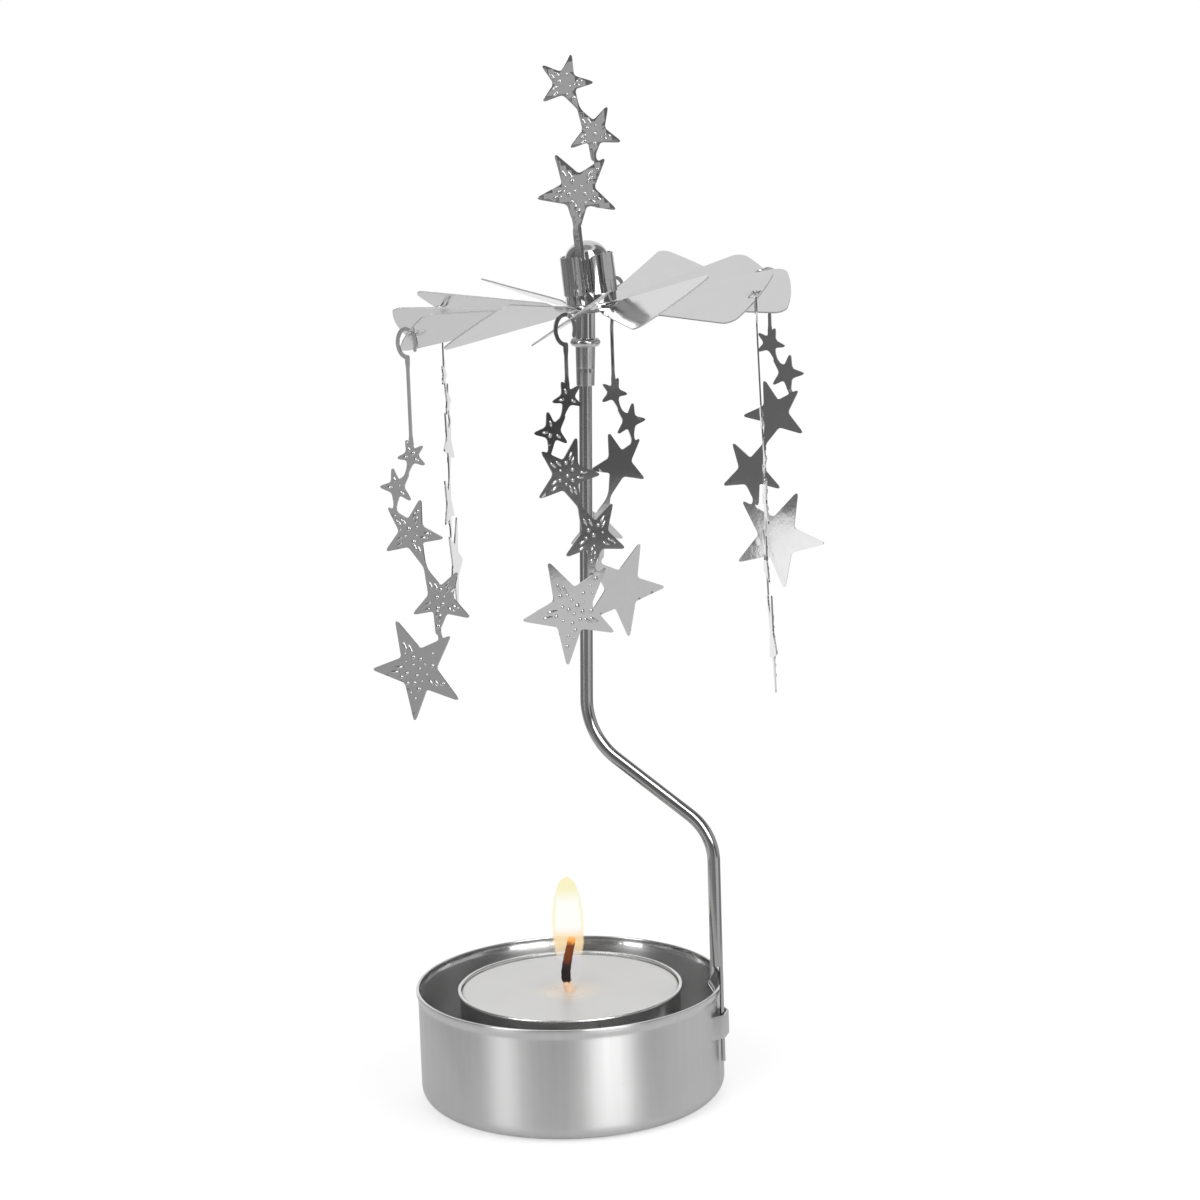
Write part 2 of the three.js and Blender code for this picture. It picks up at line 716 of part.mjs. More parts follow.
function buildWick() {
  const foot = tealightWall + waxGap;
  const top = tealightHeight - waxBelowRim;
  const path = new THREE.CatmullRomCurve3([
    new THREE.Vector3(0, 0, foot),
    new THREE.Vector3(0, 0, top),
    new THREE.Vector3(-wickBend * 0.2, 0, top + wickRise * 0.3),
    new THREE.Vector3(wickBend * 0.1, 0, top + wickRise * 0.65),
    new THREE.Vector3(wickBend, 0, top + wickRise),
  ]);
  const sides = 8;
  const section = outline(arcPoints(0, 0, wickRadius, wickRadius, 0, 360 - 360 / sides, sides - 1));
  return solid(new THREE.ExtrudeGeometry(section, { steps: 12, bevelEnabled: false, extrudePath: path }));
}

// Assembly
const group = new THREE.Group();
group.add(piece('candle_cup', buildCup(), satinSteel));

const stemGroup = new THREE.Group();
stemGroup.rotation.z = rad(clipAngle);
stemGroup.add(piece('stem', buildStem(), brightSteel));
const uprightGroup = new THREE.Group();
uprightGroup.position.copy(alongUpright(sleeveFootAlong));
uprightGroup.rotation.y = rad(uprightLean);
uprightGroup.add(piece('needle_sleeve', buildSleeve(), brightSteel));
uprightGroup.add(piece('needle', buildNeedle(), brightSteel));
stemGroup.add(uprightGroup);
group.add(stemGroup);

const rotorGroup = new THREE.Group();
rotorGroup.position.copy(alongUpright(needleTipAlong)).applyEuler(stemGroup.rotation);
rotorGroup.rotation.y = -rad(rotorLean);
rotorGroup.add(piece('bearing_cap', buildCap(), brightSteel));
rotorGroup.add(piece('crown_clip', buildCrown(), brightSteel));
rotorGroup.add(piece('fan', buildFan(), brightSteel));
const finialGroup = new THREE.Group();
const finialFace = capRadius + slideGap + finialSheet / 2;
finialGroup.position.set(...polar(finialFace, finialTurn), 0);
finialGroup.rotation.z = rad(finialTurn + 90);
finialGroup.add(piece('star_finial', buildFinial(), sheetSteel));
rotorGroup.add(finialGroup);
group.add(rotorGroup);
group.updateMatrixWorld(true);

const longCharm = buildCharm(longStick, longChain);
const shortCharm = buildCharm(shortStick, shortChain);
for (let index = 1; index < vaneCount; index += 2) {
  const number = (index + 1) / 2;
  const isLong = number % 2 === 0;
  const hook = rotorGroup.localToWorld(vanePoint(index, hookRadius, hookAngle, 0));
  const charm = piece(`star_charm_${number}`, isLong ? longCharm : shortCharm, sheetSteel);
  charm.position.z = charmHang;
  const hanger = new THREE.Group();
  hanger.position.copy(hook);
  hanger.rotation.set(-rad(charmRestSwing[number - 1]), 0, rad(vaneAzimuth(index) + charmTurn + 90), 'ZXY');
  hanger.add(charm);
  group.add(hanger);
}

const candleGroup = new THREE.Group();
candleGroup.position.set(0, tealightShiftY, cupWall + seatGap);
candleGroup.add(piece('tealight_cup', buildFoilCup(), foil));
candleGroup.add(piece('tealight_wax', buildWax(), wax));
candleGroup.add(piece('wick_sustainer', buildSustainer(), foil));
candleGroup.add(piece('wick', buildWick(), cotton));
group.add(candleGroup);

export default group;
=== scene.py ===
import json
import math
import bmesh
import bpy
from mathutils import Matrix, Vector, noise

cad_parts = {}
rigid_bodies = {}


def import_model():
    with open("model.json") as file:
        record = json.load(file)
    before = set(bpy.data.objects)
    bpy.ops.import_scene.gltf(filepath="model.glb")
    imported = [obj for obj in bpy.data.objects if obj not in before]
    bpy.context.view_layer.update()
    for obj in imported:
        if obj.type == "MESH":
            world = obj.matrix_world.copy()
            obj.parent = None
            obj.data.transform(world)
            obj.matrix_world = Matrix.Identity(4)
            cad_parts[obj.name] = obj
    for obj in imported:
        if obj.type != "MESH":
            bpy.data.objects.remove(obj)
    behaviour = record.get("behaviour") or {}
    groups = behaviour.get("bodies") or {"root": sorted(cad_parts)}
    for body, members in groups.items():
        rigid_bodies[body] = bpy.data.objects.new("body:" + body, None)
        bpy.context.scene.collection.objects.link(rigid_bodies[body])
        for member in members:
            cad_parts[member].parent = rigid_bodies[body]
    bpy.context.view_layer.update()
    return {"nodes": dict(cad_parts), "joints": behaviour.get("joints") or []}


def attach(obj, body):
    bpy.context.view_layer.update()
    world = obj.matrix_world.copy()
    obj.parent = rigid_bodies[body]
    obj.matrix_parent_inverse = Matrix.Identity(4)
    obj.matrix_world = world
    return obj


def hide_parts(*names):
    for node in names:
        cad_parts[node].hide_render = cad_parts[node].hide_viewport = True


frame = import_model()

# Rotating candle holder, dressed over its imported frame. Sizes in the dictionaries are millimetres and
# degrees; everything that reaches a mesh is in metres.
mm = 0.001
scene = bpy.context.scene
nodes = frame["nodes"]
joints = {joint["name"]: joint for joint in frame["joints"]}
print("frame loaded:", len(nodes), "nodes")


# Small helpers for points, meshes and node trees

def polar(radius, degrees):
    angle = math.radians(degrees)
    return (radius * math.cos(angle), radius * math.sin(angle))


def arc(centreX, centreY, radiusX, radiusY, start, end, steps):
    points = []
    for i in range(steps + 1):
        angle = math.radians(start + (end - start) * i / steps)
        points.append((centreX + radiusX * math.cos(angle), centreY + radiusY * math.sin(angle)))
    return points


def smoothStep(value, low, high):
    share = min(max((value - low) / (high - low), 0), 1)
    return share * share * (3 - 2 * share)


def addObject(name, mesh):
    made = bpy.data.objects.new(name, mesh)
    scene.collection.objects.link(made)
    return made


def meshOf(name, points, faces):
    mesh = bpy.data.meshes.new(name)
    mesh.from_pydata([tuple(point) for point in points], [], faces)
    mesh.validate()
    mesh.update()
    return mesh


def finishMesh(mesh, sharpAngle=35, recalculate=True):
    body = bmesh.new()
    body.from_mesh(mesh)
    bmesh.ops.remove_doubles(body, verts=body.verts, dist=2e-6)
    spare = [vertex for vertex in body.verts if not vertex.link_faces]
    bmesh.ops.delete(body, geom=spare, context="VERTS")
    if recalculate:
        bmesh.ops.recalc_face_normals(body, faces=body.faces)
    body.to_mesh(mesh)
    body.free()
    mesh.shade_smooth()
    mesh.set_sharp_from_angle(angle=math.radians(sharpAngle))
    return mesh


# A closed or axis-to-axis profile of (radius, height) in mm, turned about Z
def turnedMesh(name, profile, segments, place=None, start=0, wobble=None):
    points = []
    rings = []
    for index, (radius, height) in enumerate(profile):
        if radius < 1e-6:
            rings.append([len(points)] * segments)
            points.append(Vector((0, 0, height * mm)))
            continue
        rings.append(range(len(points), len(points) + segments))
        for k in range(segments):
            angle = start + 360 * k / segments
            spread = radius + (wobble(angle, height) if wobble else 0)
            x, y = polar(spread, angle)
            points.append(Vector((x * mm, y * mm, height * mm)))
    faces = []
    for ring, above in zip(rings, rings[1:]):
        for k in range(segments):
            corners = [ring[k], ring[(k + 1) % segments], above[(k + 1) % segments], above[k]]
            unique = list(dict.fromkeys(corners))
            if len(unique) > 2:
                faces.append(unique)
    if place:
        points = [place @ point for point in points]
    return meshOf(name, points, faces)


def joinedObject(name, parts):
    body = bmesh.new()
    for part in parts:
        body.from_mesh(part)
    mesh = bpy.data.meshes.new(name)
    body.to_mesh(mesh)
    body.free()
    return addObject(name, mesh)


def addNode(tree, kind, inputs=None, **settings):
    made = tree.nodes.new(kind)
    for key, value in settings.items():
        setattr(made, key, value)
    for key, value in (inputs or {}).items():
        if isinstance(value, bpy.types.NodeSocket):
            tree.links.new(value, made.inputs[key])
        else:
            made.inputs[key].default_value = value
    return made


def calc(tree, operation, *values, clamp=False):
    made = addNode(tree, "ShaderNodeMath", dict(enumerate(values)), operation=operation, use_clamp=clamp)
    return made.outputs[0]


def vectorCalc(tree, operation, *values):
    made = addNode(tree, "ShaderNodeVectorMath", dict(enumerate(values)), operation=operation)
    return made.outputs["Value" if operation in ("LENGTH", "DOT_PRODUCT", "DISTANCE") else "Vector"]


def mapRange(tree, value, low, high, toLow=0.0, toHigh=1.0, kind="SMOOTHSTEP"):
    inputs = {"Value": value, "From Min": low, "From Max": high, "To Min": toLow, "To Max": toHigh}
    return addNode(tree, "ShaderNodeMapRange", inputs, interpolation_type=kind).outputs["Result"]


def mixColour(tree, factor, first, second):
    made = addNode(tree, "ShaderNodeMix", data_type="RGBA")
    for key, value in ((0, factor), (6, first), (7, second)):
        if isinstance(value, bpy.types.NodeSocket):
            tree.links.new(value, made.inputs[key])
        elif key:
            made.inputs[key].default_value = (*value, 1)
        else:
            made.inputs[key].default_value = value
    return made.outputs[2]


def newTree(name, kind, inputs, outputs):
    tree = bpy.data.node_groups.new(name, kind)
    sockets = {"float": "NodeSocketFloat", "vector": "NodeSocketVector", "colour": "NodeSocketColor",
               "geometry": "NodeSocketGeometry", "material": "NodeSocketMaterial", "whole": "NodeSocketInt",
               "object": "NodeSocketObject"}
    for label, kindOf in inputs:
        tree.interface.new_socket(label, in_out="INPUT", socket_type=sockets[kindOf])
    for label, kindOf in outputs:
        tree.interface.new_socket(label, in_out="OUTPUT", socket_type=sockets[kindOf])
    given = tree.nodes.new("NodeGroupInput")
    result = tree.nodes.new("NodeGroupOutput")
    return tree, given.outputs, result


# Puts a Geometry Nodes tree on an object, fills its inputs and returns the result as a plain mesh object
def bakeTree(source, tree, values, name):
    modifier = source.modifiers.new(tree.name, "NODES")
    modifier.node_group = tree
    for item in tree.interface.items_tree:
        if item.item_type == "SOCKET" and item.in_out == "INPUT" and item.name in values:
            modifier[item.identifier] = values[item.name]
    graph = bpy.context.evaluated_depsgraph_get()
    mesh = bpy.data.meshes.new_from_object(source.evaluated_get(graph))
    source.modifiers.remove(modifier)
    bpy.data.objects.remove(source)
    made = addObject(name, mesh)
    return made


def applyModifiers(piece):
    graph = bpy.context.evaluated_depsgraph_get()
    mesh = bpy.data.meshes.new_from_object(piece.evaluated_get(graph))
    piece.modifiers.clear()
    piece.data = mesh
    return piece


# Flat faces shade flat right up to a small bevel
def evenlyShaded(piece):
    shading = piece.modifiers.new("even shading", "WEIGHTED_NORMAL")
    shading.keep_sharp = True
    return applyModifiers(piece)


def dress(piece, material, body, slot, *replaced):
    if material not in list(piece.data.materials):
        piece.data.materials.clear()
        piece.data.materials.append(material)
    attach(piece, body)
    if replaced:
        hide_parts(*replaced)
    return piece


# Shared surface effects

# Streaks or specks of noise: a height for bump and a tone from 0 to 1
def grainGroup():
    tree, given, result = newTree("sheet grain", "ShaderNodeTree",
                                  [("Stretch", "vector"), ("Size", "float"), ("Roughness", "float")],
                                  [("Height", "float"), ("Tone", "float")])
    place = addNode(tree, "ShaderNodeTexCoord").outputs["Object"]
    stretched = vectorCalc(tree, "MULTIPLY", place, given["Stretch"])
    inputs = {"Vector": stretched, "Scale": given["Size"], "Detail": 5.0, "Roughness": given["Roughness"]}
    speckle = addNode(tree, "ShaderNodeTexNoise", inputs)
    tree.links.new(speckle.outputs["Fac"], result.inputs["Height"])
    tree.links.new(mapRange(tree, speckle.outputs["Fac"], 0.3, 0.7), result.inputs["Tone"])
    return tree


# Soft smears left by fingers, as a mask
def handlingGroup():
    tree, given, result = newTree("handling marks", "ShaderNodeTree",
                                  [("Size", "float"), ("Share", "float")], [("Mask", "float")])
    place = addNode(tree, "ShaderNodeTexCoord").outputs["Object"]
    inputs = {"Vector": place, "Scale": given["Size"], "Detail": 3.0, "Distortion": 0.6}
    cloud = addNode(tree, "ShaderNodeTexNoise", inputs).outputs["Fac"]
    low = calc(tree, "SUBTRACT", 0.75, given["Share"])
    tree.links.new(mapRange(tree, cloud, low, 0.75), result.inputs["Mask"])
    return tree


# Scattered small pits or dents, as a mask that is 1 in the middle of each
def pitGroup():
    tree, given, result = newTree("scattered pits", "ShaderNodeTree",
                                  [("Size", "float"), ("Radius", "float"), ("Share", "float")],
                                  [("Mask", "float")])
    place = addNode(tree, "ShaderNodeTexCoord").outputs["Object"]
    cells = addNode(tree, "ShaderNodeTexVoronoi", {"Vector": place, "Scale": given["Size"]})
    spot = mapRange(tree, cells.outputs["Distance"], given["Radius"], 0.0)
    chosen = calc(tree, "LESS_THAN", addNode(tree, "ShaderNodeSeparateColor",
                  {"Color": cells.outputs["Color"]}).outputs[0], given["Share"])
    tree.links.new(calc(tree, "MULTIPLY", spot, chosen), result.inputs["Mask"])
    return tree


sheetGrain = grainGroup()
handlingMarks = handlingGroup()
scatteredPits = pitGroup()


def newMaterial(name):
    material = bpy.data.materials.new(name)
    material.use_nodes = True
    tree = material.node_tree
    tree.nodes.clear()
    shader = addNode(tree, "ShaderNodeBsdfPrincipled")
    output = addNode(tree, "ShaderNodeOutputMaterial")
    tree.links.new(shader.outputs["BSDF"], output.inputs["Surface"])
    return material, tree, shader


def useGroup(tree, group, **inputs):
    made = addNode(tree, "ShaderNodeGroup", node_tree=group)
    for key, value in inputs.items():
        made.inputs[key.capitalize()].default_value = value
    return made


# A metal with grain, smears and pits, each with its own values
def metalFinish(name, values):
    material, tree, shader = newMaterial(name)
    grain = useGroup(tree, sheetGrain, stretch=values["grainStretch"], size=values["grainSize"], roughness=0.6)
    smears = useGroup(tree, handlingMarks, size=values["smearSize"], share=values["smearShare"])
    pits = useGroup(tree, scatteredPits, size=values["pitSize"], radius=values.get("pitRadius", 0.35),
                    share=values["pitShare"])
    dull = [channel * values["dullShare"] for channel in values["colour"]]
    colour = mixColour(tree, calc(tree, "MULTIPLY", grain.outputs["Tone"], values["toneShift"]),
                       values["colour"], dull)
    rough = calc(tree, "ADD", values["roughness"],
                 calc(tree, "MULTIPLY", smears.outputs["Mask"], values["smearRoughness"]))
    height = calc(tree, "ADD", calc(tree, "MULTIPLY", grain.outputs["Height"], values["grainDepth"]),
                  calc(tree, "MULTIPLY", pits.outputs["Mask"], values["pitDepth"]))
    if "lipHeight" in values:                     # the lip is burnished and uneven; the inside wall gets painted shade
        place = addNode(tree, "ShaderNodeTexCoord").outputs["Object"]
        level = addNode(tree, "ShaderNodeSeparateXYZ", {"Vector": place}).outputs["Z"]
        reach = vectorCalc(tree, "LENGTH", vectorCalc(tree, "MULTIPLY", place, (1, 1, 0)))
        # painted shade: the inside wall above the floor of the cup is darkened
        inside = calc(tree, "MULTIPLY", calc(tree, "LESS_THAN", reach, values["insideRadius"] * mm),
                      calc(tree, "GREATER_THAN", level, values["insideFrom"] * mm))
        insideShaded = [channel * values["insideShadeShare"] for channel in values["colour"]]
        colour = mixColour(tree, inside, colour, insideShaded)
        lip = mapRange(tree, level, (values["lipHeight"] - 0.5) * mm, values["lipHeight"] * mm)
        lip = calc(tree, "MULTIPLY", lip, mapRange(tree, inside, 0.0, 1.0, values["outerLipShare"], 1.0))
        rough = calc(tree, "ADD", rough, calc(tree, "MULTIPLY", lip, values["lipRoughness"]))
        dents = addNode(tree, "ShaderNodeTexNoise", {"Vector": place, "Scale": 420.0, "Detail": 2.0})
        height = calc(tree, "ADD", height, calc(tree, "MULTIPLY", calc(tree, "MULTIPLY", lip,
                                                dents.outputs["Fac"]), values["lipDents"]))
    bump = addNode(tree, "ShaderNodeBump", {"Height": height, "Strength": 1.0, "Distance": mm})
    tree.links.new(colour, shader.inputs["Base Color"])
    tree.links.new(rough, shader.inputs["Roughness"])
    tree.links.new(bump.outputs["Normal"], shader.inputs["Normal"])
    shader.inputs["Metallic"].default_value = values.get("metallic", 1)
    if "upwardSpread" in values:                  # marks of turning spread a highlight up and down
        shader.inputs["Anisotropic"].default_value = values["upwardSpread"]
        shader.inputs["Anisotropic Rotation"].default_value = 0.25
    return material, tree, shader


finishes = {
    "satin cup steel": {
        "colour": (0.735, 0.735, 0.733), "dullShare": 0.94, "toneShift": 0.6, "roughness": 0.37, "upwardSpread": 0.81,
        "grainStretch": (1, 1, 0.04), "grainSize": 900, "grainDepth": 0.004,
        "smearSize": 60, "smearShare": 0.35, "smearRoughness": 0.05,
        "pitSize": 260, "pitRadius": 0.06, "pitShare": 0.12, "pitDepth": 0.06,
        "lipHeight": 17.9, "lipRoughness": -0.2, "lipDents": 0.07, "outerLipShare": 0.45,
        "insideRadius": 25.35, "insideFrom": 3.2, "insideShadeShare": 0.9},
    "rolled stem steel": {
        "colour": (0.50, 0.50, 0.505), "dullShare": 0.85, "toneShift": 0.5, "roughness": 0.12,
        "grainStretch": (1, 1, 0.03), "grainSize": 1600, "grainDepth": 0.006,
        "smearSize": 120, "smearShare": 0.3, "smearRoughness": 0.08,
        "pitSize": 500, "pitShare": 0.06, "pitDepth": 0.02},
    "bright turned steel": {
        "colour": (0.62, 0.62, 0.62), "dullShare": 0.9, "toneShift": 0.4, "roughness": 0.06,
        "grainStretch": (0.1, 0.1, 1), "grainSize": 2200, "grainDepth": 0.003,
        "smearSize": 150, "smearShare": 0.3, "smearRoughness": 0.06,
        "pitSize": 600, "pitShare": 0.05, "pitDepth": 0.02},
    "ground needle steel": {
        "colour": (0.62, 0.62, 0.62), "dullShare": 0.85, "toneShift": 0.5, "roughness": 0.25,
        "grainStretch": (0.2, 0.2, 1), "grainSize": 3000, "grainDepth": 0.004,
        "smearSize": 200, "smearShare": 0.2, "smearRoughness": 0.1,
        "pitSize": 900, "pitShare": 0.05, "pitDepth": 0.01},
    "mirror fan sheet": {
        "colour": (0.65, 0.65, 0.65), "dullShare": 0.96, "toneShift": 0.5, "roughness": 0.1,
        "grainStretch": (1, 1, 1), "grainSize": 260, "grainDepth": 0.006,
        "smearSize": 55, "smearShare": 0.4, "smearRoughness": 0.06,
        "pitSize": 160, "pitShare": 0.04, "pitDepth": 0.015},
    "punched fan edge": {
        "colour": (0.52, 0.52, 0.515), "dullShare": 0.9, "toneShift": 0.5, "roughness": 0.55, "metallic": 0.25,
        "grainStretch": (1, 1, 1), "grainSize": 900, "grainDepth": 0.01,
        "smearSize": 120, "smearShare": 0.3, "smearRoughness": 0.05,
        "pitSize": 500, "pitShare": 0.05, "pitDepth": 0.01},
    "bright charm sheet": {
        "colour": (0.66, 0.66, 0.66), "dullShare": 0.93, "toneShift": 0.5, "roughness": 0.035,
        "grainStretch": (1, 1, 1), "grainSize": 420, "grainDepth": 0.004,
        "smearSize": 90, "smearShare": 0.4, "smearRoughness": 0.025,
        "pitSize": 330, "pitShare": 0.08, "pitDepth": 0.004, "creaseShade": 0.65},
    "tealight foil": {
        "colour": (0.78, 0.78, 0.78), "dullShare": 0.9, "toneShift": 0.6, "roughness": 0.22,
        "grainStretch": (1, 1, 0.3), "grainSize": 520, "grainDepth": 0.07,
        "smearSize": 80, "smearShare": 0.4, "smearRoughness": 0.08,
        "pitSize": 420, "pitShare": 0.2, "pitDepth": 0.06},
}
materials = {}
for name, values in finishes.items():
    materials[name], tree, shader = metalFinish(name, values)
    # painted shade: the foot of each raised mark is darkened where it meets its face
    if "creaseShade" in values:                   # dark lines where a raised mark meets its face
        share = addNode(tree, "ShaderNodeAttribute", attribute_name="creaseShare").outputs["Fac"]
        plain = shader.inputs["Base Color"].links[0].from_socket
        shaded = [channel * (1 - values["creaseShade"]) for channel in values["colour"]]
        tree.links.new(mixColour(tree, share, plain, shaded), shader.inputs["Base Color"])
print("finishes made:", len(materials))


# Cup: drawn shell with a flared lip, a window and the strap pushed out over it

cup = {
    "radius": 25.5, "height": 19.1, "wall": 0.5, "footRadius": 2.6,
    "lipFlare": 0.28, "lipHeight": 1.8, "lipRound": 0.14,
    "clipAngle": -17, "strapTop": 15.2, "strapHeight": 4, "strapFlat": 2.6, "strapRamp": 2.4,
    "strapWall": 0.35, "strapGap": 0.15, "segments": 288, "rimWaver": 0.05,
}
stem = {
    "radius": 1.06, "wall": 0.38, "seamHalfAngle": 9, "forkHeight": 23.2, "legHalfAngle": 42, "legFoot": 6.7,
    "legGap": 0.15, "lowerBendHeight": 45.8, "lowerBendRadius": 9.5, "upperBendReach": 4.45,
    "upperBendHeight": 61.5, "upperBendRadius": 12, "lean": 1.8,
    "tongueWidth": 1.4, "tongueThickness": 0.35, "tongueRise": 2.7, "tongueDip": 0.5, "tongueReach": 1.05,
}
legFace = (stem["radius"] - stem["wall"]) * math.cos(math.radians(stem["legHalfAngle"]))
stemReach = cup["radius"] + cup["lipFlare"] + stem["legGap"] - legFace
strapInner = stemReach + stem["radius"] + stem["legGap"]


def lipSpread(height):
    return cup["lipFlare"] * smoothStep(height, cup["height"] - cup["lipHeight"],
                                        cup["height"] - cup["lipHeight"] * 0.3)


def rimWaver(angle, height):
    share = smoothStep(height, cup["height"] - 3, cup["height"])
    ripple = noise.noise(Vector(polar(3.1, angle)).to_3d())
    return -abs(ripple) * cup["rimWaver"] * share


def cupProfile():
    outer = cup["radius"]
    inner = outer - cup["wall"]
    foot = cup["footRadius"]
    rounding = cup["lipRound"]
    rise = [foot + (cup["height"] - foot) * k / 16 for k in range(1, 16)]
    rise += [cup["strapTop"], cup["strapTop"] - cup["strapHeight"]]
    rise += [cup["height"] - cup["lipHeight"] * k / 8 for k in range(1, 9)]
    rise = sorted(z for z in set(rise) if z < cup["height"] - rounding)
    profile = [(0, 0), (8, 0), (16, 0), *arc(outer - foot, foot, foot, foot, -90, 0, 14)]
    profile += [(outer + lipSpread(z), z) for z in rise]
    top = outer + lipSpread(cup["height"])
    profile += arc(top - rounding, cup["height"] - rounding, rounding, rounding, 0, 90, 4)
    top -= cup["wall"]
    profile += arc(top + rounding, cup["height"] - rounding, rounding, rounding, 90, 180, 4)
    profile += [(inner + lipSpread(z), z) for z in reversed(rise)]
    foot -= cup["wall"]
    profile += [*arc(inner - foot, cup["wall"] + foot, foot, foot, 0, -90, 12), (16, cup["wall"]),
                (8, cup["wall"]), (0, cup["wall"])]
    return profile


def cupShell():
    mesh = turnedMesh("cup shell", cupProfile(), cup["segments"], start=cup["clipAngle"], wobble=rimWaver)
    halfWindow = math.degrees((cup["strapFlat"] / 2 + cup["strapRamp"]) / cup["radius"])
    low = (cup["strapTop"] - cup["strapHeight"]) * mm
    high = cup["strapTop"] * mm
    body = bmesh.new()
    body.from_mesh(mesh)
    turn = Matrix.Rotation(math.radians(-cup["clipAngle"]), 4, "Z")
    inside = []
    for face in body.faces:
        middle = turn @ face.calc_center_median()
        angle = math.degrees(math.atan2(middle.y, middle.x))
        if abs(angle) < halfWindow and low < middle.z < high and middle.xy.length > 24 * mm:
            inside.append(face)
    bmesh.ops.delete(body, geom=inside, context="FACES")
    rims = [edge for edge in body.edges if edge.is_boundary]
    bmesh.ops.bridge_loops(body, edges=rims)
    body.to_mesh(mesh)
    body.free()
    return mesh


def strapMesh():
    flat = cup["strapFlat"] / 2
    foot = flat + cup["strapRamp"]
    root = foot + cup["wall"]
    low = (cup["strapTop"] - cup["strapHeight"]) + 0.02
    high = cup["strapTop"] - 0.02
    rounding = 0.1
    section = []
    for centreX, centreZ, start in ((1, 1, 0), (0, 1, 90), (0, 0, 180), (1, 0, 270)):
        x = rounding + centreX * (cup["strapWall"] - 2 * rounding)
        z = low + rounding + centreZ * (high - low - 2 * rounding)
        section += arc(x, z, rounding, rounding, start, start + 90, 3)
    points = []
    faces = []
    steps = 44
    for k in range(steps + 1):
        side = -root + 2 * root * k / steps
        straight = min(max((foot - abs(side)) / (foot - flat), 0), 1)
        share = 0.65 * straight + 0.35 * smoothStep(straight, 0, 1)
        base = cup["radius"] - 0.42 + share * (strapInner - cup["radius"] + 0.42)
        angle = cup["clipAngle"] + math.degrees(side / cup["radius"])
        for depth, height in section:
            x, y = polar(base + depth, angle)
            points.append(Vector((x, y, height)) * mm)
    count = len(section)
    for k in range(steps):
        for j in range(count):
            here = k * count + j
            beside = k * count + (j + 1) % count
            faces.append((here, beside, beside + count, here + count))
    faces.append(tuple(range(count)))
    faces.append(tuple(reversed(range(steps * count, (steps + 1) * count))))
    return meshOf("strap", points, faces)


candleCup = joinedObject("drawn_cup", [cupShell(), strapMesh()])
finishMesh(candleCup.data, 40)
dress(candleCup, materials["satin cup steel"], "base", "cup_steel", "candle_cup")
print("cup made:", len(candleCup.data.polygons), "faces")


# Stem: a tube rolled from strip, swept along its bent line, with a split clip end

# Sweeps a section along a path that lies in one plane; Plane is that plane's normal
def sweepTree():
    tree, given, result = newTree("sweep along route", "GeometryNodeTree",
                                  [("Route", "geometry"), ("Section", "object"), ("Plane", "vector"),
                                   ("Step", "float"), ("Finish", "material")],
                                  [("Mesh", "geometry")])
    section = addNode(tree, "GeometryNodeObjectInfo", {"Object": given["Section"]}).outputs["Geometry"]
    normals = addNode(tree, "GeometryNodeSetCurveNormal", {"Curve": given["Route"]}, mode="FREE")
    tree.links.new(given["Plane"], normals.inputs["Normal"])
    swept = addNode(tree, "GeometryNodeCurveToMesh", {"Curve": normals.outputs[0], "Profile Curve": section,
                                                      "Fill Caps": True})
    whole = addNode(tree, "GeometryNodeRealizeInstances", {"Geometry": swept.outputs[0]})
    finished = addNode(tree, "GeometryNodeSetMaterial", {"Geometry": whole.outputs[0],
                                                         "Material": given["Finish"]})
    tree.links.new(finished.outputs[0], result.inputs["Mesh"])
    return tree


sweepRoute = sweepTree()


def polyCurve(name, points, closed=False):
    curve = bpy.data.curves.new(name, "CURVE")
    curve.dimensions = "3D"
    spline = curve.splines.new("POLY")
    spline.points.add(len(points) - 1)
    for knot, point in zip(spline.points, points):
        knot.co = (*point, 1)
    spline.use_cyclic_u = closed
    return addObject(name, curve)


# A route of straight runs with round bends, in the stem's own plane: (reach, height) in mm
def bentRoute(corners, radii, steps=14):
    route = [Vector(corners[0])]
    for before, corner, after, radius in zip(corners, corners[1:], corners[2:], radii):
        corner = Vector(corner)
        back = (Vector(before) - corner).normalized()
        on = (Vector(after) - corner).normalized()
        turn = math.pi - back.angle(on)
        reach = radius * math.tan(turn / 2)
        centre = corner + (back + on).normalized() * radius / math.cos(turn / 2)
        start = corner + back * reach - centre
        finish = corner + on * reach - centre
        for k in range(steps + 1):
            share = k / steps
            arm = start * math.sin((1 - share) * turn) + finish * math.sin(share * turn)
            route.append(centre + arm / math.sin(turn))
    route.append(Vector(corners[-1]))
    return route


stemTurn = Matrix.Rotation(math.radians(cup["clipAngle"]), 4, "Z")
stemPlane = stemTurn @ Vector((0, 1, 0))


def inStemPlane(reach, height):
    return stemTurn @ Vector((reach * mm, 0, height * mm))


def sectionRing(radius, wall, start, end, steps):
    outer = arc(0, 0, radius, radius, start, end, steps)
    inner = arc(0, 0, radius - wall, radius - wall, end, start, steps)
    return [(x * mm, y * mm, 0) for x, y in outer + inner]


def swept(name, route, sectionPoints):
    path = polyCurve(name + " route", [inStemPlane(*point) for point in route])
    section = polyCurve(name + " section", sectionPoints, closed=True)
    made = bakeTree(path, sweepRoute, {"Section": section, "Plane": stemPlane, "Finish":
                                       materials["rolled stem steel"]}, name)
    bpy.data.objects.remove(section)
    return made.data


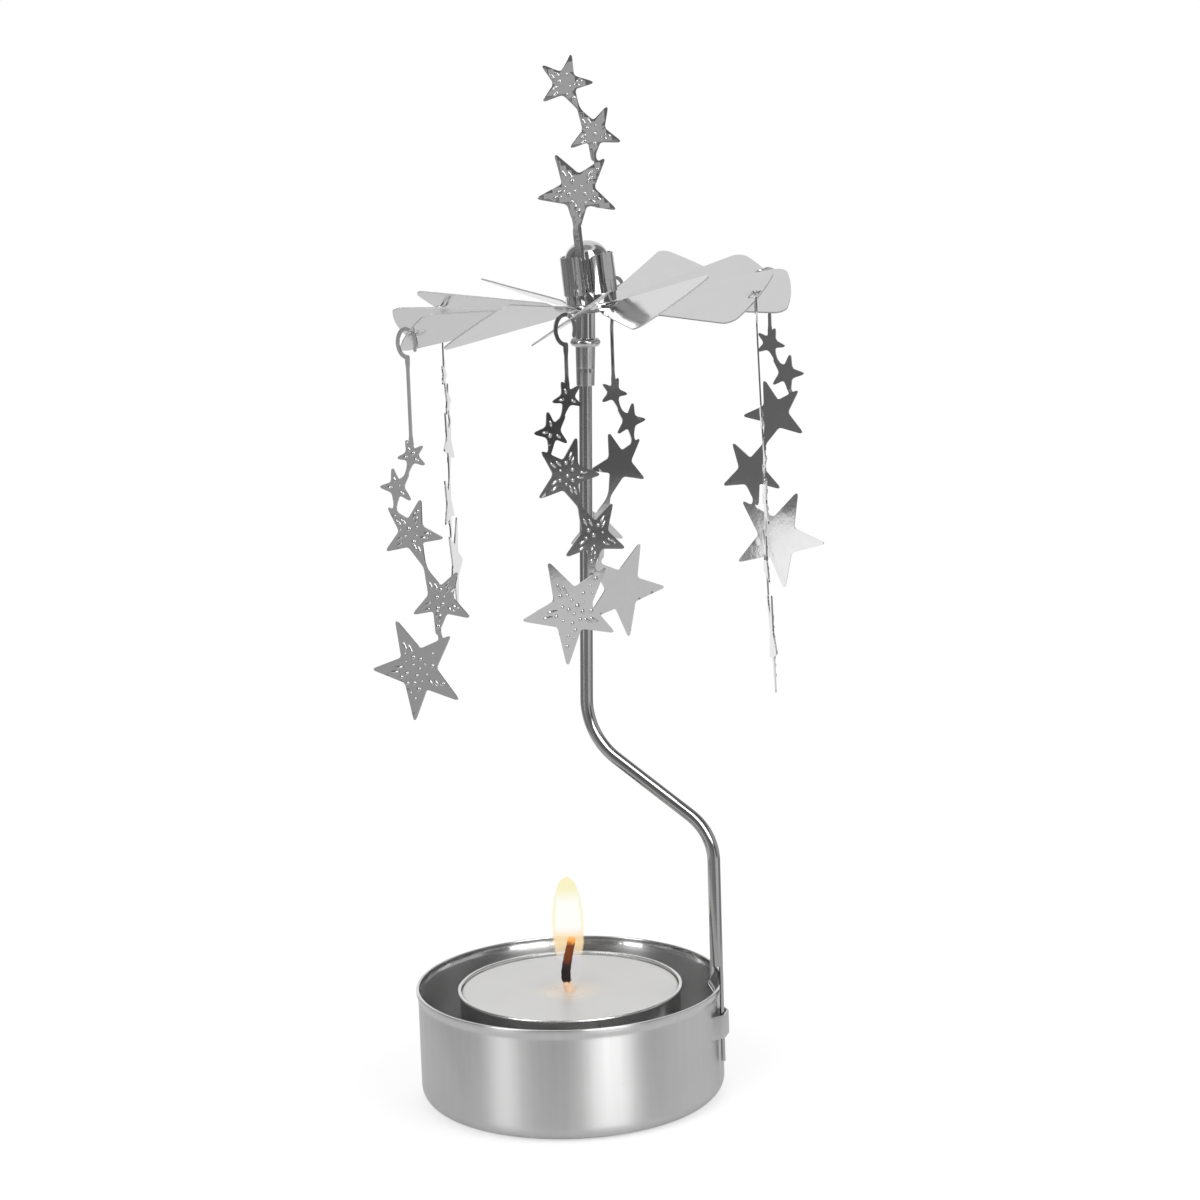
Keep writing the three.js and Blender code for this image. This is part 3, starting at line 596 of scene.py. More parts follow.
sleeve = {
    "pivotHeight": 142, "topBelowPivot": 8.5, "length": 14.1, "socket": 8, "seatGap": 0.3,
    "footRadius": 1.48, "radius": 1.62, "beadRadius": 2.45, "beadHeight": 1.4, "beadRise": 6.3,
    "topRound": 0.5, "boreRadius": 0.57, "socketRadius": 1.18, "segments": 96,
}
lean = math.radians(stem["lean"])
upperCorner = Vector((stem["upperBendReach"], stem["upperBendHeight"]))
leanLine = Vector((math.sin(lean), math.cos(lean)))
tipAlong = (sleeve["pivotHeight"] - stem["upperBendHeight"]) / leanLine.y
sleeveFootAlong = tipAlong - sleeve["topBelowPivot"] - sleeve["length"]
stemTopAlong = sleeveFootAlong + sleeve["socket"] - sleeve["seatGap"]


def tongueRoute():
    centre = stemReach - stem["radius"] + stem["tongueThickness"] / 2
    wallFace = cup["radius"] - cup["wall"] + cup["lipFlare"] - stem["legGap"] - stem["tongueThickness"] / 2
    top = cup["height"]
    knots = [(centre, stem["forkHeight"] + 1), (centre, top + stem["tongueRise"]),
             (wallFace - stem["tongueReach"], top + stem["tongueRise"] / 2),
             (wallFace - stem["tongueReach"] / 2, top + stem["tongueRise"] / 8),
             (wallFace, top - stem["tongueDip"])]
    knots = [Vector(knot) for knot in knots]
    knots = [knots[0] * 2 - knots[1], *knots, knots[-1] * 2 - knots[-2]]
    route = []
    for a, b, c, d in zip(knots, knots[1:], knots[2:], knots[3:]):
        for k in range(8):
            t = k / 8
            route.append(0.5 * (2 * b + (c - a) * t + (2 * a - 5 * b + 4 * c - d) * t ** 2
                                + (3 * b - a - 3 * c + d) * t ** 3))
    route.append(knots[-2])
    return route


def stemMeshes():
    seam = stem["seamHalfAngle"]
    tubeRoute = bentRoute([(stemReach, stem["forkHeight"]), (stemReach, stem["lowerBendHeight"]),
                           tuple(upperCorner), tuple(upperCorner + leanLine * stemTopAlong)],
                          [stem["lowerBendRadius"], stem["upperBendRadius"]])
    tube = swept("tube", tubeRoute, sectionRing(stem["radius"], stem["wall"], 90 + seam, 450 - seam, 64))
    legHalf = stem["legHalfAngle"]
    legRoute = [(stemReach, stem["legFoot"]), (stemReach, stem["forkHeight"] + stem["radius"])]
    leg = swept("leg", legRoute, sectionRing(stem["radius"], stem["wall"], 270 - legHalf, 270 + legHalf, 20))
    halfWidth = stem["radius"] * math.sin(math.radians(legHalf))
    for vertex in leg.vertices:
        if vertex.co.z < (stem["legFoot"] + 0.01) * mm:
            side = min(abs(stemPlane.dot(vertex.co)) / mm, halfWidth)
            vertex.co.z += (halfWidth - math.sqrt(halfWidth ** 2 - side ** 2)) * mm
    half = stem["tongueWidth"] / 2
    thick = stem["tongueThickness"] / 2
    rounding = 0.12
    flat = []
    for x, y, start in ((1, 1, 0), (-1, 1, 90), (-1, -1, 180), (1, -1, 270)):
        flat += arc(x * (half - rounding), y * (thick - rounding), rounding, rounding, start, start + 90, 3)
    tongue = swept("tongue", tongueRoute(), [(x * mm, y * mm, 0) for x, y in flat])
    return [tube, leg, tongue]


clipStem = joinedObject("clip_stem", stemMeshes())
for spare in [item for item in scene.objects if item.name in ("tube", "leg", "tongue")]:
    bpy.data.objects.remove(spare)
finishMesh(clipStem.data, 40)
dress(clipStem, materials["rolled stem steel"], "stem_assembly", "stem_steel", "stem")

sleevePlace = (stemTurn @ Matrix.Translation(Vector((*(upperCorner + leanLine * sleeveFootAlong), 0)).xzy * mm)
               @ Matrix.Rotation(lean, 4, "Y"))


def sleeveProfile():
    bead = sleeve["beadRise"] + sleeve["beadHeight"] / 2
    half = sleeve["beadHeight"] / 2
    top = sleeve["length"]
    taper = [(sleeve["footRadius"] + (sleeve["radius"] - sleeve["footRadius"]) * k / 6,
              sleeve["beadRise"] * k / 6) for k in range(1, 7)]
    scored = sleeve["socket"] - 5.2
    profile = [(sleeve["socketRadius"], 0), (sleeve["footRadius"] - 0.08, 0), (sleeve["footRadius"], 0.08),
               *[point for point in taper if point[1] < scored - 0.3],
               (sleeve["footRadius"] + 0.055, scored - 0.07), (sleeve["footRadius"] + 0.045, scored),
               (sleeve["footRadius"] + 0.06, scored + 0.07),
               *[point for point in taper if point[1] > scored + 0.3],
               *arc(sleeve["beadRadius"] - half, bead, half, half, -80, 80, 14),
               (sleeve["radius"], sleeve["beadRise"] + sleeve["beadHeight"])]
    profile += arc(sleeve["radius"] - sleeve["topRound"], top - sleeve["topRound"], sleeve["topRound"],
                   sleeve["topRound"], 0, 90, 8)
    profile += [(sleeve["boreRadius"], top), (sleeve["boreRadius"], sleeve["socket"]),
                (sleeve["socketRadius"], sleeve["socket"]), (sleeve["socketRadius"], 0)]
    return profile


needleSleeve = addObject("turned_sleeve", turnedMesh("turned sleeve", sleeveProfile(), sleeve["segments"],
                                                     sleevePlace))
finishMesh(needleSleeve.data, 35)
dress(needleSleeve, materials["bright turned steel"], "stem_assembly", "bright_steel", "needle_sleeve")
nodes["needle"].data.materials.clear()
nodes["needle"].data.materials.append(materials["ground needle steel"])
print("stem and sleeve made:", len(clipStem.data.polygons) + len(needleSleeve.data.polygons), "faces")


# Rotor: bearing cap and crown, leaning together on the needle's point

rotor = {
    "lean": 4.8, "seatGap": 0.3, "slideGap": 0.17, "finialSheet": 0.2,
    "capRadius": 3.5, "capWall": 0.35, "domeHeight": 2.95, "brimRadius": 4.15, "brimThickness": 0.25,
    "crownWall": 0.3, "crownTop": -1.6, "leaves": 4, "leafWidth": 73, "leafTurn": 223, "collarHeight": 1.9,
    "flangeRadius": 4.8, "leafCorner": 0.7, "fanDrop": 10, "fanSheet": 0.25, "segments": 128,
}
pivot = Vector(joints["rotor_spin"]["pos_m"])
rotorPlace = Matrix.Translation(pivot) @ Matrix.Rotation(-math.radians(rotor["lean"]), 4, "Y")
crownInner = rotor["capRadius"] + 2 * rotor["slideGap"] + rotor["finialSheet"]
crownOuter = crownInner + rotor["crownWall"]
fanTop = -rotor["fanDrop"] + rotor["fanSheet"] / 2
collarFoot = fanTop + rotor["seatGap"]
collarTop = collarFoot + rotor["collarHeight"]


def capProfile():
    radius = rotor["capRadius"]
    inner = radius - rotor["capWall"]
    top = -rotor["fanDrop"] - rotor["fanSheet"] / 2 - rotor["seatGap"]
    low = top - rotor["brimThickness"]
    base = rotor["seatGap"] + rotor["capWall"] - rotor["domeHeight"]
    brim = rotor["brimRadius"]
    return [(inner, low), (brim - 0.08, low), (brim, low + 0.08), (brim, top - 0.08), (brim - 0.08, top),
            (radius + 0.05, top), (radius, top + 0.12), (radius, -6), (radius, -4),
            *arc(0, base, radius, rotor["domeHeight"], 0, 90, 24),
            *arc(0, base, inner, rotor["domeHeight"] - rotor["capWall"], 90, 0, 18), (inner, low)]


bearingCap = addObject("domed_cap", turnedMesh("domed cap", capProfile(), rotor["segments"], rotorPlace))
finishMesh(bearingCap.data, 35)
dress(bearingCap, materials["bright turned steel"], "bearing", "bright_steel", "bearing_cap")


def collarMesh():
    inner = rotor["capRadius"] + rotor["seatGap"]
    outer = inner + rotor["crownWall"]
    wall = rotor["crownWall"]
    flange = rotor["flangeRadius"]
    profile = [(inner, collarFoot), (flange - 0.08, collarFoot), (flange, collarFoot + 0.08),
               (flange, collarFoot + wall - 0.08), (flange - 0.08, collarFoot + wall),
               (outer + 0.06, collarFoot + wall), (outer, collarFoot + wall + 0.06), (outer, collarTop - wall),
               (crownOuter, collarTop + wall), (crownInner, collarTop + wall), (inner, collarTop - wall),
               (inner, collarFoot)]
    return turnedMesh("collar", profile, rotor["segments"])


# One leaf of the crown: a bent plate with round upper corners
def leafMesh(turn):
    columns = 28
    halfWidth = crownOuter * math.sin(math.radians(rotor["leafWidth"] / 2))
    corner = rotor["leafCorner"]
    low = collarTop - 0.1
    high = rotor["crownTop"]
    heights = [low + (high - corner - low) * k / 12 for k in range(12)]
    heights += [high - corner + corner * math.sin(math.radians(90 * k / 6)) for k in range(7)]
    points = []
    faces = []
    rings = []
    for height in heights:
        past = max(height - (high - corner), 0)
        trim = corner - math.sqrt(max(corner ** 2 - past ** 2, 0))
        edge = math.degrees(math.asin((halfWidth - trim) / crownOuter))
        angles = [turn - edge + 2 * edge * k / columns for k in range(columns + 1)]
        outer = [(crownOuter, angle, height) for angle in angles]
        inner = [(crownInner, angle, height) for angle in reversed(angles)]
        rings.append(range(len(points), len(points) + 2 * len(angles)))
        points += [Vector((*polar(radius, angle), z)) * mm for radius, angle, z in outer + inner]
    count = len(rings[0])
    for ring, above in zip(rings, rings[1:]):
        for k in range(count):
            faces.append((ring[k], ring[(k + 1) % count], above[(k + 1) % count], above[k]))
    for ring in (rings[0], rings[-1]):
        for k in range(columns):
            faces.append((ring[k], ring[k + 1], ring[count - 2 - k], ring[count - 1 - k]))
    return meshOf("leaf", points, faces)


crownParts = [leafMesh(rotor["leafTurn"] + 360 * k / rotor["leaves"]) for k in range(rotor["leaves"])]
crownClip = joinedObject("leaf_crown", [collarMesh(), *crownParts])
crownClip.data.transform(rotorPlace)
finishMesh(crownClip.data, 40)
softEdge = crownClip.modifiers.new("soft edge", "BEVEL")
softEdge.width = 0.05 * mm
softEdge.segments = 2
softEdge.limit_method = "ANGLE"
softEdge.angle_limit = math.radians(50)
applyModifiers(crownClip)
dress(crownClip, materials["bright turned steel"], "rotor", "bright_steel", "crown_clip")
print("cap and crown made:", len(bearingCap.data.polygons) + len(crownClip.data.polygons), "faces")


# Fan: a flat punched blank whose vanes a tree twists and bends down

fan = {
    "bore": 3.8, "hubRadius": 5.6, "slitStart": 5.35, "radius": 31.9, "sheet": 0.25, "vanes": 12, "phase": -7,
    "halfAngle": 14.1, "corner": 2, "twistStart": 4.9, "twistEnd": 8.6,
    "pitch": [22.5, 25, 25, 25, 25, 29, 25, 25, 25, 28.5, 25, 25],
    "droop": [1.45, -2.16, -5.35, -2.16, -3.55, -2.56, -1.25, -0.56, -2.35, -2.86, -3.85, -0.56],
    "holeRadius": 0.8, "holeAlong": 30.87, "holeAcross": 0.26, "columns": 24, "waver": 0.12, "waverSize": 90,
}


def vaneTrim(radius):
    past = max(radius - (fan["radius"] - fan["corner"]), 0)
    return fan["corner"] - math.sqrt(max(fan["corner"] ** 2 - past ** 2, 0))


def punchedBlank():
    points = []
    faces = []
    azimuths = []
    pitches = []
    droops = []
    columns = fan["columns"]
    hubRows = [fan["bore"] + (fan["slitStart"] - fan["bore"]) * k / 4 for k in range(5)]
    bladeRows = [fan["slitStart"] + (9 - fan["slitStart"]) * k / 12 for k in range(13)]
    bladeRows += [9 + (fan["radius"] - 2 - 9) * k / 26 for k in range(1, 27)]
    bladeRows += [fan["radius"] - 2 + past for past in (0.3, 0.7, 1.1, 1.5, 1.75, 1.88, 1.96, 2)]
    hubPoints = {}

    def add(radius, angle, index):
        points.append(Vector((*polar(radius, angle), 0)) * mm)
        azimuths.append(math.radians(fan["phase"] + index * 360 / fan["vanes"]))
        pitches.append(math.radians(fan["pitch"][index]))
        droops.append(math.tan(math.radians(fan["droop"][index])))
        return len(points) - 1

    for index in range(fan["vanes"]):
        middle = fan["phase"] + index * 360 / fan["vanes"]
        for row, radius in enumerate(hubRows):
            for k in range(columns + 1):
                angle = middle + fan["halfAngle"] * (2 * k / columns - 1)
                hubPoints[index, row, k] = add(radius, angle, index)
    for index in range(fan["vanes"]):
        following = (index + 1) % fan["vanes"]
        for row in range(len(hubRows) - 1):
            for k in range(columns):
                faces.append((hubPoints[index, row, k], hubPoints[index, row + 1, k],
                              hubPoints[index, row + 1, k + 1], hubPoints[index, row, k + 1]))
            faces.append((hubPoints[index, row, columns], hubPoints[index, row + 1, columns],
                          hubPoints[following, row + 1, 0], hubPoints[following, row, 0]))
        middle = fan["phase"] + index * 360 / fan["vanes"]
        blade = {}
        for row, radius in enumerate(bladeRows):
            half = fan["halfAngle"] - math.degrees(vaneTrim(radius) / radius)
            for k in range(columns + 1):
                if row == 0:
                    blade[row, k] = hubPoints[index, len(hubRows) - 1, k]
                else:
                    blade[row, k] = add(radius, middle + half * (2 * k / columns - 1), index)
        firstRow = len(bladeRows) - 9
        lastRow = len(bladeRows) - 3
        firstColumn = columns // 2 - 1
        lastColumn = columns // 2 + 2
        punched = index % 2 == 1
        for row in range(len(bladeRows) - 1):
            for k in range(columns):
                if punched and firstRow <= row < lastRow and firstColumn <= k < lastColumn:
                    continue
                faces.append((blade[row, k], blade[row + 1, k], blade[row + 1, k + 1], blade[row, k + 1]))
        if punched:
            loop = [blade[firstRow, k] for k in range(firstColumn, lastColumn)]
            loop += [blade[row, lastColumn] for row in range(firstRow, lastRow)]
            loop += [blade[lastRow, k] for k in range(lastColumn, firstColumn, -1)]
            loop += [blade[row, firstColumn] for row in range(lastRow, firstRow, -1)]
            turn = Matrix.Rotation(math.radians(middle), 3, "Z")
            centre = turn @ Vector((fan["holeAlong"], fan["holeAcross"], 0)) * mm
            rim = []
            for corner in loop:
                away = (points[corner] - centre).normalized()
                points.append(centre + away * fan["holeRadius"] * mm)
                azimuths.append(azimuths[corner])
                pitches.append(pitches[corner])
                droops.append(droops[corner])
                rim.append(len(points) - 1)
            for k in range(len(loop)):
                onward = (k + 1) % len(loop)
                faces.append((loop[k], loop[onward], rim[onward], rim[k]))
    mesh = meshOf("punched blank", points, faces)
    mesh.attributes.new("vaneAzimuth", "FLOAT", "POINT").data.foreach_set("value", azimuths)
    mesh.attributes.new("vanePitch", "FLOAT", "POINT").data.foreach_set("value", pitches)
    mesh.attributes.new("vaneDroop", "FLOAT", "POINT").data.foreach_set("value", droops)
    return addObject("punched blank", mesh)


def readAttribute(tree, name):
    return addNode(tree, "GeometryNodeInputNamedAttribute", {"Name": name}, data_type="FLOAT").outputs[0]


def vaneTree():
    tree, given, result = newTree("twisted vanes", "GeometryNodeTree",
                                  [("Blank", "geometry"), ("Twist Start", "float"),
                                   ("Twist End", "float"), ("Hub Radius", "float"), ("Waver", "float"),
                                   ("Waver Size", "float"), ("Finish", "material")],
                                  [("Mesh", "geometry")])
    place = addNode(tree, "GeometryNodeInputPosition").outputs[0]
    radius = vectorCalc(tree, "LENGTH", place)
    azimuth = readAttribute(tree, "vaneAzimuth")
    line = addNode(tree, "ShaderNodeCombineXYZ", {"X": calc(tree, "COSINE", azimuth),
                                                  "Y": calc(tree, "SINE", azimuth)}).outputs[0]
    share = mapRange(tree, radius, given["Twist Start"], given["Twist End"])
    turned = addNode(tree, "ShaderNodeVectorRotate",
                     {"Vector": place, "Axis": line, "Angle": calc(tree, "MULTIPLY", share, readAttribute(tree, "vanePitch"))},
                     rotation_type="AXIS_ANGLE").outputs[0]
    past = calc(tree, "MAXIMUM", calc(tree, "SUBTRACT", radius, given["Hub Radius"]), 0.0)
    fall = calc(tree, "MULTIPLY", past, readAttribute(tree, "vaneDroop"))
    ripple = addNode(tree, "ShaderNodeTexNoise", {"Vector": place, "Scale": given["Waver Size"], "Detail": 1.0})
    lift = calc(tree, "MULTIPLY", calc(tree, "SUBTRACT", ripple.outputs["Fac"], 0.5), given["Waver"])
    lift = calc(tree, "MULTIPLY", lift, mapRange(tree, radius, given["Hub Radius"], given["Twist End"]))
    drop = addNode(tree, "ShaderNodeCombineXYZ", {"Z": calc(tree, "SUBTRACT", lift, fall)}).outputs[0]
    bent = addNode(tree, "GeometryNodeSetPosition",
                   {"Geometry": given["Blank"], "Position": vectorCalc(tree, "ADD", turned, drop)})
    whole = addNode(tree, "GeometryNodeRealizeInstances", {"Geometry": bent.outputs[0]})
    finished = addNode(tree, "GeometryNodeSetMaterial", {"Geometry": whole.outputs[0],
                                                         "Material": given["Finish"]})
    tree.links.new(finished.outputs[0], result.inputs["Mesh"])
    return tree


fanSheet = bakeTree(punchedBlank(), vaneTree(),
                    {"Twist Start": fan["twistStart"] * mm,
                     "Twist End": fan["twistEnd"] * mm, "Hub Radius": fan["hubRadius"] * mm,
                     "Waver": fan["waver"] * mm, "Waver Size": fan["waverSize"],
                     "Finish": materials["mirror fan sheet"]}, "vaned_fan")
fanSheet.data.transform(rotorPlace @ Matrix.Translation((0, 0, -rotor["fanDrop"] * mm)))
finishMesh(fanSheet.data, 60, recalculate=False)
fanSheet.data.materials.append(materials["punched fan edge"])
thickness = fanSheet.modifiers.new("sheet thickness", "SOLIDIFY")
thickness.thickness = fan["sheet"] * mm
thickness.offset = 0
thickness.material_offset_rim = 1
applyModifiers(fanSheet)
finishMesh(fanSheet.data, 50)
evenlyShaded(fanSheet)
dress(fanSheet, materials["mirror fan sheet"], "rotor", "fan_sheet", "fan")
print("fan made:", len(fanSheet.data.polygons), "faces")


# Charms and finial: thin sheets with soft outlines, raised dots and dashes on the outer face

charm = {
    "sheet": 0.25, "cut": 0.55, "hang": 0.75, "stickOffset": -0.35, "longStick": 19.3, "longChain": 1.03,
    "shortStick": 11.7, "shortChain": 0.97, "edge": 0.05, "grid": 0.8,
    "dotRadius": 0.33, "dotSpacing": 1.15, "dotMargin": 0.5, "dotHeight": 0.17,
    "dashWidth": 0.23, "dashHeight": 0.18, "dashGap": 0.38, "seed": 4, "ringDrop": 0.3, "stretchLength": 8,
    # how far each charm's stars hang lower than its ring, and to the side, and their turn in degrees
    "settle": {1: (0.3, 0, 0), 2: (0.1, 0.95, 0), 3: (0.1, 0, 6), 4: (0.5, 0, 0), 5: (0.6, 0, 0),
               6: (0.4, 0, 0)},
    "stickTop": -4.3, "stickNarrowing": 0.3,
}
# Star centres from the first star's centre, their radii and the directions of their tips
starMotif = [
    ((0, 0), 2.75, (110, 38, -30, -109, 189)),
    ((-2.95, -5), 3.2, (103, 44, -38, -98, 180)),
    ((-0.6, -12), 5.8, (137, 71, -5, -68, 212)),
    ((4.1, -22.2), 5.75, (118, 55, -25, -100, 206)),
    ((-0.6, -33.4), 8.55, (116, 43, -31, -97, 184)),
]
# How each star is bent out of its charm's plane: tip up or down, and twist to a side, in degrees
starBends = {
    1: [(0, 0), (0, 0), (0, 0), (-0.35, 0), (0.1, 0)],
    2: [(0, 0), (0, 0), (0, 0), (0.8, 0), (0.45, 0)],
    3: [(0, 0), (-0.8, 0), (-2, 0), (-0.8, 0), (0.4, 0)],
    4: [(0, 0), (0, 0), (0, 0), (0, 0), (0, 0)],
    5: [(0, 0), (-0.2, 0), (-0.4, 0), (0.4, 0), (0, 0)],
    6: [(0, 0), (-0.4, 0), (-0.6, 0), (0, 0), (0.4, 0)],
}


# The outline of a sheet node's outer face, as points in its own plane, and that plane's axes
def sheetOutline(nodeName, outward, across, origin):
    body = bmesh.new()
    body.from_mesh(nodes[nodeName].data)
    bmesh.ops.remove_doubles(body, verts=body.verts, dist=1e-6)
    face = [item for item in body.faces if item.normal.dot(outward) > 0.95]
    normal = sum((item.normal * item.calc_area() for item in face), Vector()).normalized()
    across = (across - normal * across.dot(normal)).normalized()
    upward = normal.cross(across)
    onward = {}
    inFace = set(face)
    for item in face:
        for corner in item.loops:
            if not any(other in inFace for other in corner.edge.link_faces if other is not item):
                onward[corner.vert] = corner.link_loop_next.vert
    start = next(iter(onward))
    loop = [start]
    while onward[loop[-1]] is not start:
        loop.append(onward[loop[-1]])
    flat = [Vector(((vert.co - origin).dot(across), (vert.co - origin).dot(upward))) / mm for vert in loop]
    body.free()
    return flat, across, upward, normal


# Rounds every corner of an outline
def softened(points, cut, steps=4):
    distinct = [point for k, point in enumerate(points) if (point - points[k - 1]).length > 0.02]
    result = []
    for k, corner in enumerate(distinct):
        before = distinct[k - 1] - corner
        after = distinct[(k + 1) % len(distinct)] - corner
        if before.angle(after) > math.radians(177):
            continue
        start = corner + before.normalized() * min(cut, before.length / 2)
        finish = corner + after.normalized() * min(cut, after.length / 2)
        for j in range(steps + 1):
            t = j / steps
            result.append(start * (1 - t) ** 2 + corner * 2 * t * (1 - t) + finish * t ** 2)
    return [point for k, point in enumerate(result) if (point - result[k - 1]).length > 0.01]


def griddedSheet(name, outline, step):
    body = bmesh.new()
    corners = [body.verts.new((*(point * mm), 0)) for point in outline]
    body.faces.new(corners)
    for axis in (0, 1):
        values = [point[axis] for point in outline]
        for k in range(math.ceil(min(values) / step), math.floor(max(values) / step) + 1):
            at = Vector((0, 0, 0))
            at[axis] = k * step * mm
            direction = Vector((0, 0, 0))
            direction[axis] = 1
            bmesh.ops.bisect_plane(body, geom=body.verts[:] + body.edges[:] + body.faces[:], dist=1e-7,
                                   plane_co=at, plane_no=direction)
    mesh = bpy.data.meshes.new(name)
    body.to_mesh(mesh)
    body.free()
    return addObject(name, mesh)


# Raised marks on a flat face: dashes at given points, dots scattered between them
def embossTree():
    tree, given, result = newTree("raised dots and dashes", "GeometryNodeTree",
                                  [("Face", "geometry"), ("Dashes", "object"), ("Dot Radius", "float"),
                                   ("Dot Spacing", "float"), ("Dot Margin", "float"), ("Dot Height", "float"),
                                   ("Seed", "whole"), ("Finish", "material")],
                                  [("Mesh", "geometry")])
    ball = addNode(tree, "GeometryNodeMeshUVSphere", {"Segments": 10, "Rings": 6, "Radius": 1.0}).outputs[0]
    dashes = addNode(tree, "GeometryNodeObjectInfo", {"Object": given["Dashes"]}).outputs["Geometry"]
    turn = addNode(tree, "ShaderNodeCombineXYZ", {"Z": readAttribute(tree, "turn")}).outputs[0]
    size = addNode(tree, "ShaderNodeCombineXYZ", {"X": readAttribute(tree, "long"),
                                                  "Y": readAttribute(tree, "wide"),
                                                  "Z": readAttribute(tree, "high")}).outputs[0]
    bars = addNode(tree, "GeometryNodeInstanceOnPoints", {"Points": dashes, "Instance": ball, "Scale": size})
    rotation = addNode(tree, "FunctionNodeEulerToRotation", {0: turn}).outputs[0]
    tree.links.new(rotation, bars.inputs["Rotation"])
    spots = addNode(tree, "GeometryNodeDistributePointsOnFaces",
                    {"Mesh": given["Face"], "Distance Min": given["Dot Spacing"], "Density Max": 4e6,
                     "Seed": given["Seed"]}, distribute_method="POISSON")
    neighbours = addNode(tree, "GeometryNodeInputMeshEdgeNeighbors").outputs[0]
    lone = addNode(tree, "FunctionNodeCompare", {2: neighbours, 3: 1}, data_type="INT", operation="EQUAL")
    rim = addNode(tree, "GeometryNodeSeparateGeometry", {"Geometry": given["Face"],
                                                         "Selection": lone.outputs[0]}, domain="EDGE")
    toRim = addNode(tree, "GeometryNodeProximity", {0: rim.outputs[0]}, target_element="EDGES")
    toDash = addNode(tree, "GeometryNodeProximity", {0: dashes}, target_element="POINTS")
    nearRim = calc(tree, "LESS_THAN", toRim.outputs["Distance"], given["Dot Margin"])
    nearDash = calc(tree, "LESS_THAN", toDash.outputs["Distance"], calc(tree, "MULTIPLY", given["Dot Spacing"],
                                                                      0.75))
    drop = calc(tree, "MAXIMUM", nearRim, nearDash)
    kept = addNode(tree, "GeometryNodeDeleteGeometry", {"Geometry": spots.outputs["Points"], "Selection": drop},
                   domain="POINT")
    vary = addNode(tree, "FunctionNodeRandomValue", {2: 0.55, 3: 1.25, "Seed": given["Seed"]},
                   data_type="FLOAT").outputs[1]
    across = calc(tree, "MULTIPLY", vary, given["Dot Radius"])
    dotSize = addNode(tree, "ShaderNodeCombineXYZ", {"X": across, "Y": across,
                                                     "Z": given["Dot Height"]}).outputs[0]
    dots = addNode(tree, "GeometryNodeInstanceOnPoints", {"Points": kept.outputs[0], "Instance": ball,
                                                          "Scale": dotSize})
    both = addNode(tree, "GeometryNodeJoinGeometry")
    tree.links.new(bars.outputs[0], both.inputs[0])
    tree.links.new(dots.outputs[0], both.inputs[0])
    whole = addNode(tree, "GeometryNodeRealizeInstances", {"Geometry": both.outputs[0]})
    # painted shade: a mask that is 1 at the foot of each mark, for darkening its crease
    level = addNode(tree, "ShaderNodeSeparateXYZ",
                    {"Vector": addNode(tree, "GeometryNodeInputPosition").outputs[0]}).outputs["Z"]
    creaseShaded = addNode(tree, "GeometryNodeStoreNamedAttribute", {
        "Geometry": whole.outputs[0], "Name": "creaseShare",
        "Value": mapRange(tree, level, calc(tree, "MULTIPLY", given["Dot Height"], 0.45), 0.0)},
        data_type="FLOAT", domain="POINT")
    finished = addNode(tree, "GeometryNodeSetMaterial", {"Geometry": creaseShaded.outputs[0],
                                                         "Material": given["Finish"]})
    tree.links.new(finished.outputs[0], result.inputs["Mesh"])
    return tree


raisedMarks = embossTree()


def dashPoints(stars):
    points = []
    turns = []
    longs = []
    for (x, y), radius, tips in stars:
        marked = tips if 5 < radius < 7 else tips[::2]
        for order, tip in enumerate(marked):
            for side in (-charm["dashGap"], charm["dashGap"]) if radius > 4 else (0,):
                px, py = polar(radius * (0.5 if side > 0 else 0.4), tip)
                sideX, sideY = polar(side * (1 - 0.25 * (order % 2)), tip + 90)
                points.append(Vector((x + px + sideX, y + py + sideY, 0)) * mm)
                turns.append(math.radians(tip))
                longs.append((0.32 + radius * 0.07) * mm)
    mesh = meshOf("dash points", points, [])
    mesh.attributes.new("turn", "FLOAT", "POINT").data.foreach_set("value", turns)
    mesh.attributes.new("long", "FLOAT", "POINT").data.foreach_set("value", longs)
    for label, value in (("wide", charm["dashWidth"]), ("high", charm["dashHeight"])):
        size = mesh.attributes.new(label, "FLOAT", "POINT")
        size.data.foreach_set("value", [value * mm] * len(points))
    return addObject("dash points", mesh)


# Height of a bent chain above its plane, from how each star tips and twists
def bendHeight(x, y, stars, bends):
    centres = [at[1] for at, radius, tips in stars]
    places = [centres[0] + stars[0][1], *centres, centres[-1] - stars[-1][1]]
    tips = [0, *[bend[0] for bend in bends], bends[-1][0]]
    sides = [0, *[bend[1] for bend in bends], bends[-1][1]]
    middles = [stars[0][0][0], *[at[0] for at, radius, tip in stars], stars[-1][0][0]]
    height = 0
    if y >= places[0]:
        return 0
    for k in range(len(places) - 1):
        high, low = places[k], places[k + 1]
        reach = min(max((high - y) / (high - low), 0), 1)
        if reach <= 0:
            break
        slope = tips[k] + (tips[k + 1] - tips[k]) * reach / 2
        height += math.tan(math.radians(slope)) * reach * (high - low)
        side = sides[k] + (sides[k + 1] - sides[k]) * smoothStep(reach, 0, 1)
        middle = middles[k] + (middles[k + 1] - middles[k]) * reach
    return height + math.tan(math.radians(side)) * (x - middle)


